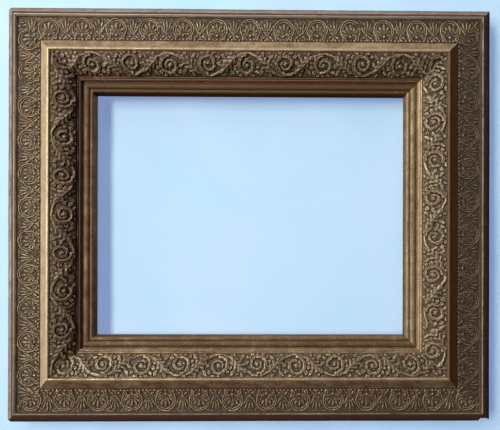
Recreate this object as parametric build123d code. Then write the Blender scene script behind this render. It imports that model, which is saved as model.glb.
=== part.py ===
from build123d import *
import math
import os

# An empty gilded picture frame, hung upright. The wall is the plane Y = 0, the front faces -Y and +Z is up.
# The origin is the middle of the opening, on the wall. All sizes are millimetres.
# In every section, d is the distance in from the frame's outer edge and h the height off the wall.

# The picture panel that the rebate takes, 14 by 11 inches, and how far the sight lip covers its edges
PICTURE_W = 355.6
PICTURE_H = 279.4
SIGHT_LAP = 6.35

# Back rails: flat pine boards, set in from the wall, whose inner edges are the walls of the rebate
BACK_SET = 5.0
BOARD_T = 8.0
BOARD_TONGUE = 7.0

# Outer rail: a rim that falls away to the frame's side, beside the flat bed of the outer frieze
RIM_W = 13.5
RIM_CROWN = 11.2
RIM_RISE = 5.5
RIM_FALL = 10.0
RIM_SWELL = 1.2
RIM_FOOT = 2.5
OUTER_BED_W = 24.2
OUTER_BED_T = 14.0

# Middle rail: a plain sloping band, a crest bead, a swelling bed for the inner frieze and two foot beads
BAND_W = 12.6
BAND_RISE = 12.5
CREST_W = 3.0
CREST_STEP = 1.0
INNER_BED_W = 22.8
INNER_BED_DROP = 12.0
INNER_BED_SWELL = 3.0
FOOT_BEAD_W = 2.1
FOOT_BEAD_DROP = 2.1
FOOT_BEAD_STEP = 0.7
FOOT_BEADS = 2
FOOT_FILLET = 0.2

# Sight rail: a quirk, two rounded ridges with a valley between, and the sight edge over the rebate
QUIRK_W = 1.6
QUIRK_RISE = 9.0
RIDGE_W = 7.1
RIDGE_RISE = 12.2
RIDGE_LEAN = 0.65
VALLEY_RISE = 9.5
LIP_RIDGE_W = 3.6
LIP_RIDGE_RISE = 10.8
LIP_SLOPE_W = 1.4
LIP_EDGE = 2.0

# Cast friezes: a thin backing strip with raised ornament
STRIP_T = 1.5
ORNAMENT_MARGIN = 1.0
OUTER_RELIEF = 2.0
UNIT_FILL = 0.3
ARCH_PITCH = 36.5
ARCH_BAND = 1.8
ARCH_GAP_ANGLE = 40.0
PALMETTE_LEAVES = 5
PALMETTE_SPREAD = 34.0
PALMETTE_ROOT = 0.5
PALMETTE_REACH = 1.15
PALMETTE_TAPER = 0.005
LEAF_W = 2.4
FAN_LEAVES = 3
FAN_SPREAD = 19.0
INNER_RELIEF = 3.0
SCROLL_PITCH = 41.4
SCROLL_BAND = 2.2
SCROLL_EYE_R = 3.0
SCROLL_SWAY = 1.6
SCROLL_GAP_ANGLE = 35.0
SCROLL_FACING = 25.0
SPRAY_W = 6.0
SPRAY_ANGLE = 38.0
SCROLL_FACETS = 16
EYE_FACETS = 8
LEAF_FACETS = 6

# Where the run of ornament starts on each rail, measured along the rail from its middle
ARCH_START = {"top": 0.0, "bottom": 18.2, "left": -7.5, "right": 15.2}
SCROLL_START = {"top": 3.2, "bottom": 8.7, "left": 0.0, "right": 18.2}

# Mitre keys, glued into saw cuts across the outer corners
KEY_T = 3.0
KEY_LEG = 22.0
KEY_H = 8.0

# Corner gussets on the back, and their nails
GUSSET_T = 4.0
GUSSET_LEG = 50.0
GUSSET_GAP = 1.0
GUSSET_NAIL_IN = 6.0
GUSSET_NAILS = (14.0, 32.0)

# Nails driven from the back, through the back rails into each moulding
NAIL_R = 0.8
NAIL_HEAD_R = 1.8
NAIL_HEAD_T = 0.8
NAIL_POINT = 2.5
NAIL_SPACING = 85.0
NAIL_COVER = 4.0
MIDDLE_NAIL_GRIP = 14.0
SIGHT_NAIL_GRIP = 5.0

# Turn buttons that hold the picture in, each on a round-headed screw
BUTTON_L = 18.0
BUTTON_W = 11.0
BUTTON_T = 1.2
BUTTON_INSET = 8.5
BUTTON_PLAY = 0.1
SCREW_R = 1.45
SCREW_HEAD_R = 3.0
SCREW_HEAD_T = 1.7
SCREW_COVER = 2.0
PIN_CLEARANCE = 0.06

# Strap hangers on the side rails, with a D ring in each rolled eye
HANGER_RISE = 75.0
STRAP_W = 10.0
STRAP_L = 34.0
STRAP_T = 1.0
STRAP_SCREWS = (9.5, 26.0)
EYE_WALL = 0.9
RING_WIRE_R = 1.2
RING_HALF_W = 9.0
RING_DROP = 16.0
RING_CORNER = 3.0

# Derived distances in from the outer edge
outer_w = RIM_W + OUTER_BED_W
tongue_d = outer_w - BOARD_TONGUE
crest_d = outer_w + BAND_W
inner_bed_d = crest_d + CREST_W
foot_d = inner_bed_d + INNER_BED_W
middle_end_d = foot_d + FOOT_BEADS * FOOT_BEAD_W + FOOT_FILLET
sight_w = QUIRK_W + RIDGE_W + LIP_RIDGE_W + LIP_SLOPE_W
moulding_w = middle_end_d + sight_w
rebate_d = moulding_w - SIGHT_LAP

# Overall size
frame_w = PICTURE_W + 2 * rebate_d
frame_h = PICTURE_H + 2 * rebate_d

# Derived heights off the wall
ledge_h = BACK_SET + BOARD_T
outer_bed_h = ledge_h + OUTER_BED_T
ground_h = outer_bed_h + STRIP_T
rim_top_h = outer_bed_h + RIM_RISE
band_top_h = ground_h + BAND_RISE
inner_top_h = band_top_h - CREST_STEP
inner_foot_h = inner_top_h - INNER_BED_DROP

# Fastener lengths: through the boards they hold, and short of the far face
gusset_nail_l = GUSSET_T + BOARD_T - SCREW_COVER
outer_nail_l = BOARD_T + OUTER_BED_T - NAIL_COVER
middle_nail_l = BOARD_T + MIDDLE_NAIL_GRIP
sight_nail_l = BOARD_T + SIGHT_NAIL_GRIP
button_lift = BUTTON_T + 2 * BUTTON_PLAY
screw_depth = BOARD_T - SCREW_COVER

SIDES = ("top", "bottom", "left", "right")
RAIL_ORIGIN = {
    "top": (0, 0, frame_h / 2),
    "bottom": (0, 0, -frame_h / 2),
    "left": (-frame_w / 2, 0, 0),
    "right": (frame_w / 2, 0, 0),
}
RAIL_RUN = {"top": (-1, 0, 0), "bottom": (1, 0, 0), "left": (0, 0, -1), "right": (0, 0, 1)}
CORNERS = {"top_left": (-1, 1), "top_right": (1, 1), "bottom_left": (-1, -1), "bottom_right": (1, -1)}


def rail_length(side):
    """A rail's outer length."""
    return frame_w if side in ("top", "bottom") else frame_h


def rail_plane(side):
    """A plane on the wall with X along the rail, Y from the outer edge inward and Z towards the viewer."""
    return Plane(origin=RAIL_ORIGIN[side], x_dir=RAIL_RUN[side], z_dir=(0, -1, 0))


def mitre_wedge(length):
    """The space of one rail between its two mitre planes."""
    spare = moulding_w
    half = length / 2
    outline = Polyline(
        (-half - spare, -spare),
        (half + spare, -spare),
        (half - moulding_w, moulding_w),
        (-half + moulding_w, moulding_w),
        close=True,
    )
    return extrude(make_face(outline), amount=2 * band_top_h)


def run_along(section, side):
    """A section in d and h, run along a rail with square ends."""
    return extrude(Plane.YZ * section, amount=rail_length(side) / 2, both=True)


def mitred(section, side):
    """A section run along a rail and mitred at both ends, in the rail's own axes."""
    return run_along(section, side) & mitre_wedge(rail_length(side))


def placed(shape, side):
    """A shape moved from a rail's own axes to its place in the frame."""
    return rail_plane(side).location * shape


def outer_rail_section():
    """Rim, frieze bed and the step at the back that takes the back rail's edge."""
    side_h = rim_top_h - RIM_FALL
    swell = RIM_SWELL / math.hypot(RIM_CROWN, RIM_FALL)
    slope_mid = (RIM_CROWN / 2 - swell * RIM_FALL, rim_top_h - RIM_FALL / 2 + swell * RIM_CROWN)
    slope = ThreePointArc((0, side_h), slope_mid, (RIM_CROWN, rim_top_h))
    rest = Polyline(
        (RIM_CROWN, rim_top_h),
        (RIM_W, outer_bed_h + RIM_FOOT),
        (RIM_W, outer_bed_h),
        (outer_w, outer_bed_h),
        (outer_w, ledge_h),
        (tongue_d, ledge_h),
        (tongue_d, 0),
        (0, 0),
        (0, side_h),
    )
    return make_face(slope + rest)


def back_rail_section():
    """A flat board from the outer rail's step to the rebate."""
    return make_face(
        Polyline(
            (tongue_d, BACK_SET),
            (tongue_d, ledge_h),
            (rebate_d, ledge_h),
            (rebate_d, BACK_SET),
            close=True,
        )
    )


def swell_circle():
    """Centre and radius of the arc that the inner frieze's ground follows."""
    chord = math.hypot(INNER_BED_W, INNER_BED_DROP)
    radius = chord**2 / (8 * INNER_BED_SWELL) + INNER_BED_SWELL / 2
    back = (radius - INNER_BED_SWELL) / chord
    centre_d = inner_bed_d + INNER_BED_W / 2 - INNER_BED_DROP * back
    centre_h = inner_top_h - INNER_BED_DROP / 2 - INNER_BED_W * back
    return centre_d, centre_h, radius


def swell_h(d, offset):
    """Height at d of the swelling ground, moved out by an offset along its own radius."""
    centre_d, centre_h, radius = swell_circle()
    return centre_h + math.sqrt((radius + offset) ** 2 - (d - centre_d) ** 2)


def swell_arc(offset, start_d, end_d):
    """The swelling ground between two values of d, moved out by an offset."""
    middle_d = (start_d + end_d) / 2
    points = [(d, swell_h(d, offset)) for d in (start_d, middle_d, end_d)]
    return ThreePointArc(*points)


def swell_band(low, high, start_d, end_d):
    """The face between two offsets of the swelling ground."""
    bottom = swell_arc(low, start_d, end_d)
    top = swell_arc(high, end_d, start_d)
    return make_face(bottom + Line(bottom @ 1, top @ 0) + top + Line(top @ 1, bottom @ 0))


def middle_rail_section():
    """Sloping band, crest bead, lowered bed of the inner frieze and the foot beads."""
    crest_mid = (crest_d + CREST_W / 2, band_top_h + CREST_W / 2)
    bed = swell_arc(-STRIP_T, inner_bed_d, foot_d)
    band_foot = (outer_w, ground_h)
    outline = Polyline((middle_end_d, ledge_h), (outer_w, ledge_h), band_foot, (crest_d, band_top_h))
    outline += ThreePointArc((crest_d, band_top_h), crest_mid, (inner_bed_d, band_top_h))
    outline += Line((inner_bed_d, band_top_h), bed @ 0) + bed
    corner = bed @ 1
    for bead in range(FOOT_BEADS):
        start_d = foot_d + bead * FOOT_BEAD_W
        base_h = inner_foot_h - FOOT_BEAD_DROP - bead * FOOT_BEAD_STEP
        radius = FOOT_BEAD_W / 2
        start = (start_d, base_h)
        top = (start_d + radius, base_h + radius)
        end = (start_d + FOOT_BEAD_W, base_h)
        outline += Line(corner, start) + ThreePointArc(start, top, end)
        corner = end
    fillet_end = (middle_end_d, corner[1])
    outline += Polyline(corner, fillet_end, (middle_end_d, ledge_h))
    return make_face(outline)


def sight_rail_section():
    """Quirk, main ridge, valley and lip ridge, with a flat back that is the rebate's ledge."""
    ridge_d = middle_end_d + QUIRK_W
    valley_d = ridge_d + RIDGE_W
    slope_d = valley_d + LIP_RIDGE_W
    quirk_h = ledge_h + QUIRK_RISE
    valley_h = ledge_h + VALLEY_RISE
    ridge_top = (ridge_d + RIDGE_W * RIDGE_LEAN, ledge_h + RIDGE_RISE)
    lip_top = (valley_d + LIP_RIDGE_W / 2, ledge_h + LIP_RIDGE_RISE)
    ridge = ThreePointArc((ridge_d, quirk_h), ridge_top, (valley_d, valley_h))
    lip = ThreePointArc((valley_d, valley_h), lip_top, (slope_d, valley_h))
    back = Polyline(
        (slope_d, valley_h),
        (moulding_w, ledge_h + LIP_EDGE),
        (moulding_w, ledge_h),
        (middle_end_d, ledge_h),
        (middle_end_d, quirk_h),
        (ridge_d, quirk_h),
    )
    return make_face(ridge + lip + back)


def starts_along(side, pitch, first):
    """Places along a rail, one pitch apart, counted both ways from the first."""
    reach = rail_length(side) / 2 + pitch
    count = int(reach // pitch) + 1
    return [first + step * pitch for step in range(-count, count + 1) if abs(first + step * pitch) < reach]


def leaf(length, width, angle, root):
    """A pointed leaf between two arcs, its root at a point, turned from the direction of the outer edge."""
    near = ThreePointArc((0, 0), (width / 2, -length / 2), (0, -length))
    far = ThreePointArc((0, -length), (-width / 2, -length / 2), (0, 0))
    return Pos(*root) * Rot(0, 0, angle) * make_face(near + far)


def open_ring(outer, inner, reach, gap_angle, facing):
    """A flat ring between two outlines, with a gap, as the arches and scrolls have."""
    left = (reach * math.sin(math.radians(-gap_angle)), reach * math.cos(math.radians(gap_angle)))
    gap = make_face(Polyline((0, 0), left, (-left[0], left[1]), close=True))
    return (outer - inner) - Rot(0, 0, facing) * gap


def faceted_leaf(length, width):
    """A pointed leaf with straight-sided edges, centred on the origin along Y."""
    shares = [number / LEAF_FACETS for number in range(LEAF_FACETS + 1)]
    right = [(width / 2 * math.sin(math.pi * share), length * (share - 0.5)) for share in shares[1:-1]]
    left = [(-x, y) for x, y in reversed(right)]
    return make_face(Polyline((0, -length / 2), *right, (0, length / 2), *left, close=True))


def anthemion_unit():
    """One arch with its palmette, and the fan between two arches, raised from the outer bed's strip."""
    bed_middle = RIM_W + OUTER_BED_W / 2
    arch_r = min(OUTER_BED_W / 2 - ORNAMENT_MARGIN, ARCH_PITCH * UNIT_FILL)
    root_d = bed_middle + arch_r * PALMETTE_ROOT
    round_arch = open_ring(Circle(arch_r), Circle(arch_r - ARCH_BAND), 2 * arch_r, ARCH_GAP_ANGLE, 0)
    arch = Pos(0, bed_middle) * round_arch
    inner_l = (arch_r - ARCH_BAND) * PALMETTE_REACH
    leaves = []
    for number in range(PALMETTE_LEAVES):
        turn = (number - (PALMETTE_LEAVES - 1) / 2) * PALMETTE_SPREAD
        length = inner_l * (1 - PALMETTE_TAPER * abs(turn))
        leaves.append(leaf(length, LEAF_W, turn, (0, root_d)))
    fan_root = (ARCH_PITCH / 2, bed_middle + OUTER_BED_W / 2 - 2 * ORNAMENT_MARGIN)
    for number in range(FAN_LEAVES):
        turn = (number - (FAN_LEAVES - 1) / 2) * FAN_SPREAD
        leaves.append(leaf(OUTER_BED_W - 4 * ORNAMENT_MARGIN, LEAF_W, turn, fan_root))
    pattern = arch + leaves
    return Pos(0, 0, outer_bed_h + STRIP_T / 2) * extrude(pattern, amount=STRIP_T / 2 + OUTER_RELIEF)


def scroll_unit(turned):
    """One scroll round its rosette, and the leaf that runs on to the next, raised from the swelling."""
    sway = SCROLL_SWAY if turned else -SCROLL_SWAY
    middle_d = inner_bed_d + INNER_BED_W / 2
    scroll_r = min(INNER_BED_W / 2 - ORNAMENT_MARGIN - SCROLL_SWAY, SCROLL_PITCH * UNIT_FILL)
    facing = SCROLL_FACING + (180 if turned else 0)
    outer, inner = (RegularPolygon(size, SCROLL_FACETS) for size in (scroll_r, scroll_r - SCROLL_BAND))
    ring = Pos(0, middle_d + sway) * open_ring(outer, inner, 2 * scroll_r, SCROLL_GAP_ANGLE, facing)
    eye = Pos(0, middle_d + sway) * RegularPolygon(SCROLL_EYE_R, EYE_FACETS)
    lean = SPRAY_ANGLE if turned else -SPRAY_ANGLE
    spray_l = INNER_BED_W - 3 * ORNAMENT_MARGIN
    spray = Pos(SCROLL_PITCH / 2, middle_d) * Rot(0, 0, lean) * faceted_leaf(spray_l, SPRAY_W)
    columns = extrude(ring + eye + spray, amount=2 * band_top_h)
    edge = ORNAMENT_MARGIN / 2
    relief = swell_band(-STRIP_T / 2, INNER_RELIEF, inner_bed_d + edge, foot_d - edge)
    return extrude(Plane.YZ * relief, amount=SCROLL_PITCH, both=True) & columns


def outer_frieze(side):
    """Flat backing strip with a row of arches, palmettes and fans."""
    backing = Polyline(
        (RIM_W, outer_bed_h), (RIM_W, ground_h), (outer_w, ground_h), (outer_w, outer_bed_h), close=True
    )
    strip = run_along(make_face(backing), side)
    unit = anthemion_unit()
    row = [Pos(start, 0) * unit for start in starts_along(side, ARCH_PITCH, ARCH_START[side])]
    return (strip + row) & mitre_wedge(rail_length(side))


def inner_frieze(side):
    """Swelling backing strip with a running scroll."""
    strip = run_along(swell_band(-STRIP_T, 0, inner_bed_d, foot_d), side)
    units = [scroll_unit(False), scroll_unit(True)]
    places = starts_along(side, SCROLL_PITCH, SCROLL_START[side])
    row = [Pos(start, 0) * units[number % 2] for number, start in enumerate(places)]
    return (strip + row) & mitre_wedge(rail_length(side))


def nail(length):
    """A wire nail with a flat head at the origin, pointing along Z."""
    outline = Polyline(
        (0, 0),
        (NAIL_HEAD_R, 0),
        (NAIL_HEAD_R, NAIL_HEAD_T),
        (NAIL_R, NAIL_HEAD_T),
        (NAIL_R, length - NAIL_POINT),
        (0, length),
        close=True,
    )
    return revolve(Plane.XZ * make_face(outline), Axis.Z)


def nail_row(side, row_d, length):
    """Nails in a row along one rail, driven forward from the back rail's back face."""
    span = rail_length(side) - 2 * moulding_w
    count = max(2, round(span / NAIL_SPACING))
    step = span / count
    places = [(number + 0.5) * step - span / 2 for number in range(count)]
    return [placed(Pos(place, row_d, BACK_SET) * nail(length), side) for place in places]


def gusset(corner):
    """A triangle of thin board over a mitre of the back rails."""
    sign_x, sign_z = CORNERS[corner]
    start = tongue_d + GUSSET_GAP
    end = start + GUSSET_LEG
    corner_points = [(start, start), (end, start), (start, end)]
    points = [(sign_x * (frame_w / 2 - a), sign_z * (frame_h / 2 - b)) for a, b in corner_points]
    plane = Plane(origin=(0, -BACK_SET, 0), x_dir=(1, 0, 0), z_dir=(0, 1, 0))
    outline = Polyline(*[(x, -z) for x, z in points], close=True)
    return extrude(plane * make_face(outline), amount=GUSSET_T, dir=(0, 1, 0))


def gusset_nails(corner):
    """Two nails through a gusset into each of its two rails."""
    sign_x, sign_z = CORNERS[corner]
    start = tongue_d + GUSSET_GAP
    nails = []
    for along in GUSSET_NAILS:
        for a, b in ((start + along, start + GUSSET_NAIL_IN), (start + GUSSET_NAIL_IN, start + along)):
            foot = (sign_x * (frame_w / 2 - a), GUSSET_T - BACK_SET, sign_z * (frame_h / 2 - b))
            drive = Plane(origin=foot, x_dir=(1, 0, 0), z_dir=(0, -1, 0))
            nails.append(drive.location * nail(gusset_nail_l))
    return nails


def mitre_key(corner):
    """A thin triangular key across an outer corner, flush with both sides."""
    sign_x, sign_z = CORNERS[corner]
    points = [(0, 0), (KEY_LEG, 0), (0, KEY_LEG)]
    points = [(sign_x * (frame_w / 2 - a), sign_z * (frame_h / 2 - b)) for a, b in points]
    plane = Plane(origin=(0, -KEY_H, 0), x_dir=(1, 0, 0), z_dir=(0, 1, 0))
    outline = Polyline(*[(x, -z) for x, z in points], close=True)
    return extrude(plane * make_face(outline), amount=KEY_T, dir=(0, -1, 0))


def screw(shank):
    """A round-headed wood screw along Z: head behind the origin, shank ahead of it, pointed at its end."""
    tip = 2 * SCREW_R
    dome_r = (SCREW_HEAD_R**2 + SCREW_HEAD_T**2) / (2 * SCREW_HEAD_T)
    half_turn = math.asin(SCREW_HEAD_R / dome_r) / 2
    dome_mid = (dome_r * math.sin(half_turn), dome_r * (1 - math.cos(half_turn)) - SCREW_HEAD_T)
    dome = ThreePointArc((0, -SCREW_HEAD_T), dome_mid, (SCREW_HEAD_R, 0))
    rest = Polyline((SCREW_HEAD_R, 0), (SCREW_R, 0), (SCREW_R, shank - tip), (0, shank), (0, -SCREW_HEAD_T))
    return revolve(Plane.XZ * make_face(dome + rest), Axis.Z)


def turn_button():
    """A round-ended plate, parked along its rail, with its pivot hole at the origin."""
    outline = Pos(BUTTON_L / 2, 0) * SlotCenterToCenter(BUTTON_L, BUTTON_W)
    plate = extrude(outline, amount=BUTTON_T)
    return plate - Pos(0, 0, BUTTON_T / 2) * Cylinder(SCREW_R + PIN_CLEARANCE, 2 * BUTTON_T)


def button_place(lift):
    """A button's pivot on the back of any rail, facing the wall, a lift off the board."""
    return Pos(0, rebate_d - BUTTON_INSET, BACK_SET - lift) * Rot(180, 0, 0)


def hanger_x(side):
    """A hanger's place across the frame: the middle of the back rail's face."""
    middle = frame_w / 2 - (tongue_d + rebate_d) / 2
    return -middle if side == "left" else middle


def ring_y():
    """A ring pivot's distance in front of the wall: the rolled eye lies against the board."""
    return -BACK_SET + RING_WIRE_R + PIN_CLEARANCE + EYE_WALL


def hanger_strap(side):
    """A strap screwed to a back rail, rolled into an eye at its lower end."""
    bore_r = RING_WIRE_R + PIN_CLEARANCE
    eye_r = bore_r + EYE_WALL
    x = hanger_x(side)
    plate = Pos(x, -BACK_SET + STRAP_T / 2, HANGER_RISE + STRAP_L / 2) * Box(STRAP_W, STRAP_T, STRAP_L)
    across = Pos(x, ring_y(), HANGER_RISE) * Rot(0, 90, 0)
    strap = plate + across * Cylinder(eye_r, STRAP_W)
    strap = strap - across * Cylinder(bore_r, 2 * STRAP_W)
    for rise in STRAP_SCREWS:
        hole = Pos(x, -BACK_SET, HANGER_RISE + rise) * Rot(90, 0, 0)
        strap = strap - hole * Cylinder(SCREW_R, 4 * STRAP_T)
    return strap


def hanger_screws(side):
    """The two screws of a strap."""
    screws = []
    for rise in STRAP_SCREWS:
        foot = (hanger_x(side), -BACK_SET + STRAP_T, HANGER_RISE + rise)
        drive = Plane(origin=foot, x_dir=(1, 0, 0), z_dir=(0, -1, 0))
        screws.append(drive.location * screw(STRAP_T + screw_depth))
    return screws


def hanger_ring(side):
    """A D ring hanging from its strap's eye: a straight bar, two rounded corners and a round bow."""
    bar = RING_HALF_W - RING_CORNER
    bow_z = RING_HALF_W - RING_DROP
    corner = RING_CORNER * (1 - math.sin(math.radians(45)))
    path = Line((-bar, 0), (bar, 0))
    path += ThreePointArc((bar, 0), (RING_HALF_W - corner, -corner), (RING_HALF_W, -RING_CORNER))
    path += Line((RING_HALF_W, -RING_CORNER), (RING_HALF_W, bow_z))
    path += ThreePointArc((RING_HALF_W, bow_z), (0, -RING_DROP), (-RING_HALF_W, bow_z))
    path += Line((-RING_HALF_W, bow_z), (-RING_HALF_W, -RING_CORNER))
    path += ThreePointArc((-RING_HALF_W, -RING_CORNER), (corner - RING_HALF_W, -corner), (-bar, 0))
    face_plane = Plane(origin=(hanger_x(side), ring_y(), HANGER_RISE), x_dir=(1, 0, 0), z_dir=(0, -1, 0))
    wire = face_plane * path
    start = Plane(origin=wire @ 0, z_dir=wire % 0)
    return sweep(start * Circle(RING_WIRE_R), path=wire)


def main():
    """Build every piece and write one file for each."""
    os.makedirs("parts", exist_ok=True)
    pieces = {}
    nails = {"outer": [], "middle": [], "sight": []}
    button_screws = []
    rows = {
        "outer": (tongue_d + BOARD_TONGUE / 2, outer_nail_l),
        "middle": ((outer_w + middle_end_d) / 2, middle_nail_l),
        "sight": ((middle_end_d + rebate_d) / 2, sight_nail_l),
    }
    sections = {"outer": outer_rail_section(), "middle": middle_rail_section(), "sight": sight_rail_section()}
    corner_nails = [piece for corner in CORNERS for piece in gusset_nails(corner)]
    strap_screws = {side: hanger_screws(side) for side in ("left", "right")}
    keys = [mitre_key(corner) for corner in CORNERS]
    for side in SIDES:
        driven = {row: nail_row(side, row_d, length) for row, (row_d, length) in rows.items()}
        pivot = screw(button_lift + screw_depth)
        turn_screw = placed(button_place(button_lift) * Rot(180, 0, 0) * pivot, side)
        button_screws.append(turn_screw)
        pieces["turn_button_" + side] = placed(button_place(BUTTON_PLAY) * turn_button(), side)
        board = placed(mitred(back_rail_section(), side), side)
        tools = driven["outer"] + driven["middle"] + driven["sight"] + [turn_screw] + corner_nails
        board = board - (tools + strap_screws.get(side, []))
        pieces["back_rail_" + side] = board
        for row, section in sections.items():
            rail = placed(mitred(section, side), side) - driven[row]
            pieces[row + "_rail_" + side] = rail - keys if row == "outer" else rail
            nails[row] += driven[row]
        pieces["outer_frieze_" + side] = placed(outer_frieze(side), side)
        pieces["inner_frieze_" + side] = placed(inner_frieze(side), side)
    for corner in CORNERS:
        pieces["corner_gusset_" + corner] = gusset(corner) - corner_nails
    for side in ("left", "right"):
        pieces["hanger_strap_" + side] = hanger_strap(side)
        pieces["hanger_ring_" + side] = hanger_ring(side)
    for row, group in nails.items():
        pieces[row + "_rail_nails"] = Compound(children=group)
    pieces["gusset_nails"] = Compound(children=corner_nails)
    pieces["mitre_keys"] = Compound(children=keys)
    pieces["turn_button_screws"] = Compound(children=button_screws)
    pieces["hanger_screws"] = Compound(children=strap_screws["left"] + strap_screws["right"])
    for name, shape in pieces.items():
        export_step(shape, f"parts/{name}.step")


main()
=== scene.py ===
import math
from types import SimpleNamespace

import bpy
import numpy as np
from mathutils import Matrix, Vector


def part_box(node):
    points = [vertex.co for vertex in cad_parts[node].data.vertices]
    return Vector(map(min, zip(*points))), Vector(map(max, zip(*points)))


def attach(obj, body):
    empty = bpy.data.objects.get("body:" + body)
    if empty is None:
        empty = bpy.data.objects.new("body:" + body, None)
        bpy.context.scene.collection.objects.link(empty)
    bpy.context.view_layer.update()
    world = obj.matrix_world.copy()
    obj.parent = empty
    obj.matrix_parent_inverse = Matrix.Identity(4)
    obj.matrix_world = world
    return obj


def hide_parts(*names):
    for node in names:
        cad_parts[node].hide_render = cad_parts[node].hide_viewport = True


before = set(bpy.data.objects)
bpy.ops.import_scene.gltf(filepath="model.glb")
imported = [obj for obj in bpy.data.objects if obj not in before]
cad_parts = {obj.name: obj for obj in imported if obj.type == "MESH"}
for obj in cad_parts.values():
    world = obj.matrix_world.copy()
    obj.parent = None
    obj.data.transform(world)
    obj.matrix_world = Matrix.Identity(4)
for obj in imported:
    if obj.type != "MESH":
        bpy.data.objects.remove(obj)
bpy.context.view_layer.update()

bl_info = {
    "name": "Gilded Picture Frame",
    "version": (1, 0, 0),
    "blender": (4, 5, 0),
    "location": "View3D > Sidebar > Frame",
    "description": "Dresses a wide gilded picture frame: carved friezes, worn gilding and a bare pine back",
    "category": "Add Mesh",
}

MM = 0.001
SIDES = ("top", "bottom", "left", "right")
CORNERS = ("top_left", "top_right", "bottom_left", "bottom_right")
CHIPPED_CORNER = "bottom_right"

# The corner at each rail's start and at its end, following the way that its length is measured
RAIL_ENDS = {
    "top": ("top_right", "top_left"),
    "bottom": ("bottom_left", "bottom_right"),
    "left": ("top_left", "bottom_left"),
    "right": ("bottom_right", "top_right"),
}

# Nails and screws, all of steel
STEEL_FASTENERS = (
    "outer_rail_nails",
    "middle_rail_nails",
    "sight_rail_nails",
    "gusset_nails",
    "turn_button_screws",
    "hanger_screws",
)

# How much of its gilding each moulding has lost, side by side: partly wear, and partly painted shade, as the
# sides that face away from the light get more
RAIL_WEAR_AND_SHADE = {
    "outer_rail": {"top": 0.15, "bottom": 0.85, "left": 0.3, "right": 0.75},
    "outer_frieze": {"top": 0.25, "bottom": 0.35, "left": 0.25, "right": 0.4},
    "middle_rail": {"top": 0.35, "bottom": 0.45, "left": 0.14, "right": 1.0},
    "inner_frieze": {"top": 0.3, "bottom": 0.05, "left": 0.4, "right": 0.0},
    "foot_beads": {"top": 0.9, "bottom": 0.6, "left": 1.2, "right": 0.35},
    "sight_rail": {"top": 0.85, "bottom": 0.65, "left": 0.6, "right": 0.35},
}

# How much deeper the dark grime lies on some mouldings, side by side, as a share of their relief: a little
# dirt on every side, and painted shade on the right outer frieze and the left foot beads
RAIL_GRIME_AND_SHADE = {
    "outer_frieze": {"top": 0.1, "bottom": 0.12, "left": 0.1, "right": 0.4},
    "foot_beads": {"top": 0.0, "bottom": 0.0, "left": 1.0, "right": 0.0},
}

# Petals of a palmette and blades of a fan, from the middle out: lean in degrees, length in radii of the arch
PETALS = ((0, 1.24), (25, 1.14), (50, 0.94), (77, 0.7))
BLADES = ((0, 1.68), (15, 1.55), (31, 1.3))
BEADS_PER_PITCH = 9

# Leaves that stand out from a scroll: the angle round it in degrees, and the length in millimetres
LOBES = (
    (-78, 6.0), (-52, 6.6), (-26, 6.8), (0, 6.4), (26, 6.0),
    (52, 6.2), (80, 6.6), (108, 6.6), (138, 6.0), (170, 5.6),
)
# Small leaves between two scrolls: place in millimetres, lean in degrees and length
SPRIGS = (((-2.0, 4.5), -40, 8.5), ((3.5, 6.0), 10, 7.0), ((2.0, -4.5), 140, 8.5), ((-3.5, -6.0), 190, 7.0))

# Spacing of the points round each section, in millimetres, and the least of it as a share
SECTION_STEP = {"outer_rail": 0.55, "middle_rail": 0.5, "sight_rail": 0.4}
LEAST_STEP = 0.08
# Points on a section's rounded corner, and the most of a side that a corner takes up
CURVE_POINTS = 6
CORNER_SHARE = 0.45
# Stations along a rail, more of them near each end, and the share of half its length that those take up
RAIL_STATIONS = 190
END_STATIONS = 40
END_SHARE = 0.06
# Points on the worn tip of a mitre key
KEY_POINTS = 12

# A rail's plain runs keep one point in so many
KEPT_POINT = 8
# A frieze's back has about this many points across
BACK_POINTS = 6
# Edges that turn by more degrees than this look sharp
SHARP_ANGLE = 38

# Pits of the cast ground: width and depth in millimetres
PITS = ((0.9, 0.28), (1.7, 0.33))
# How much of a quarter circle a worn corner follows, and how far back to its break a chipped end is pressed
CORNER_TURN = 0.98
CHIP_PRESS = 0.97
# In millimetres: depth of the dents on ridges, bow of the outer edge, and how far in from it that reaches
DENT_DEPTH = 0.45
EDGE_BOW = 0.12
BOW_REACH = 20

# Seeds: one range for each side, with room in it for each moulding's own
FIRST_SEED = 40
SEED_STEP = 10
OUTER_FRIEZE_SEED = 300
INNER_FRIEZE_SEED = 500
DRAWING_SEED = 20
CHIP_SEED = 7
SHEET_SEED = 11
NOISE_CELLS = 256

# The way that a board's grain runs, as an axis
GRAIN = {"level": "x", "upright": "z"}
NODE_SPACING = 220
NODES_IN_ROW = 8

# Area lights, turned to the frame's middle: place, width and height in metres, power in watts, and colour
LIGHTS = {
    "window": ((-1.1, -1.78, 0.45), (0.45, 1.5), 35, (1.0, 0.99, 0.98)),
    "side_window": ((-1.75, -0.5, 0.1), (0.5, 0.7), 8, (1.0, 0.99, 0.96)),
    "top_fill": ((-0.1, -0.6, 1.3), (1.2, 0.9), 6, (0.9, 0.95, 1.0)),
    "back_fill": ((0.3, 2.0, 0.5), (1.8, 1.4), 24, (1.0, 0.97, 0.93)),
}

# The camera: place and near limit in metres, turn in degrees, lens and sensor in millimetres, and shift
CAMERA_PLACE = (0.0302, -0.5456, -0.0254)
CAMERA_TURN = (90.064, -0.138, -0.718)
CAMERA_LENS = 34.04
CAMERA_SENSOR = 36
CAMERA_NEAR = 0.01
CAMERA_SHIFT = (-0.0672, 0.0456)


def length_prop(name, description, default):
    """A length in metres, shown in the file's own unit, or one for each of four sides or corners."""
    if isinstance(default, tuple):
        kind, more = bpy.props.FloatVectorProperty, {"size": len(default)}
    else:
        kind, more = bpy.props.FloatProperty, {"precision": 5}
    return kind(name=name, description=description, default=default, unit="LENGTH", **more)


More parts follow.
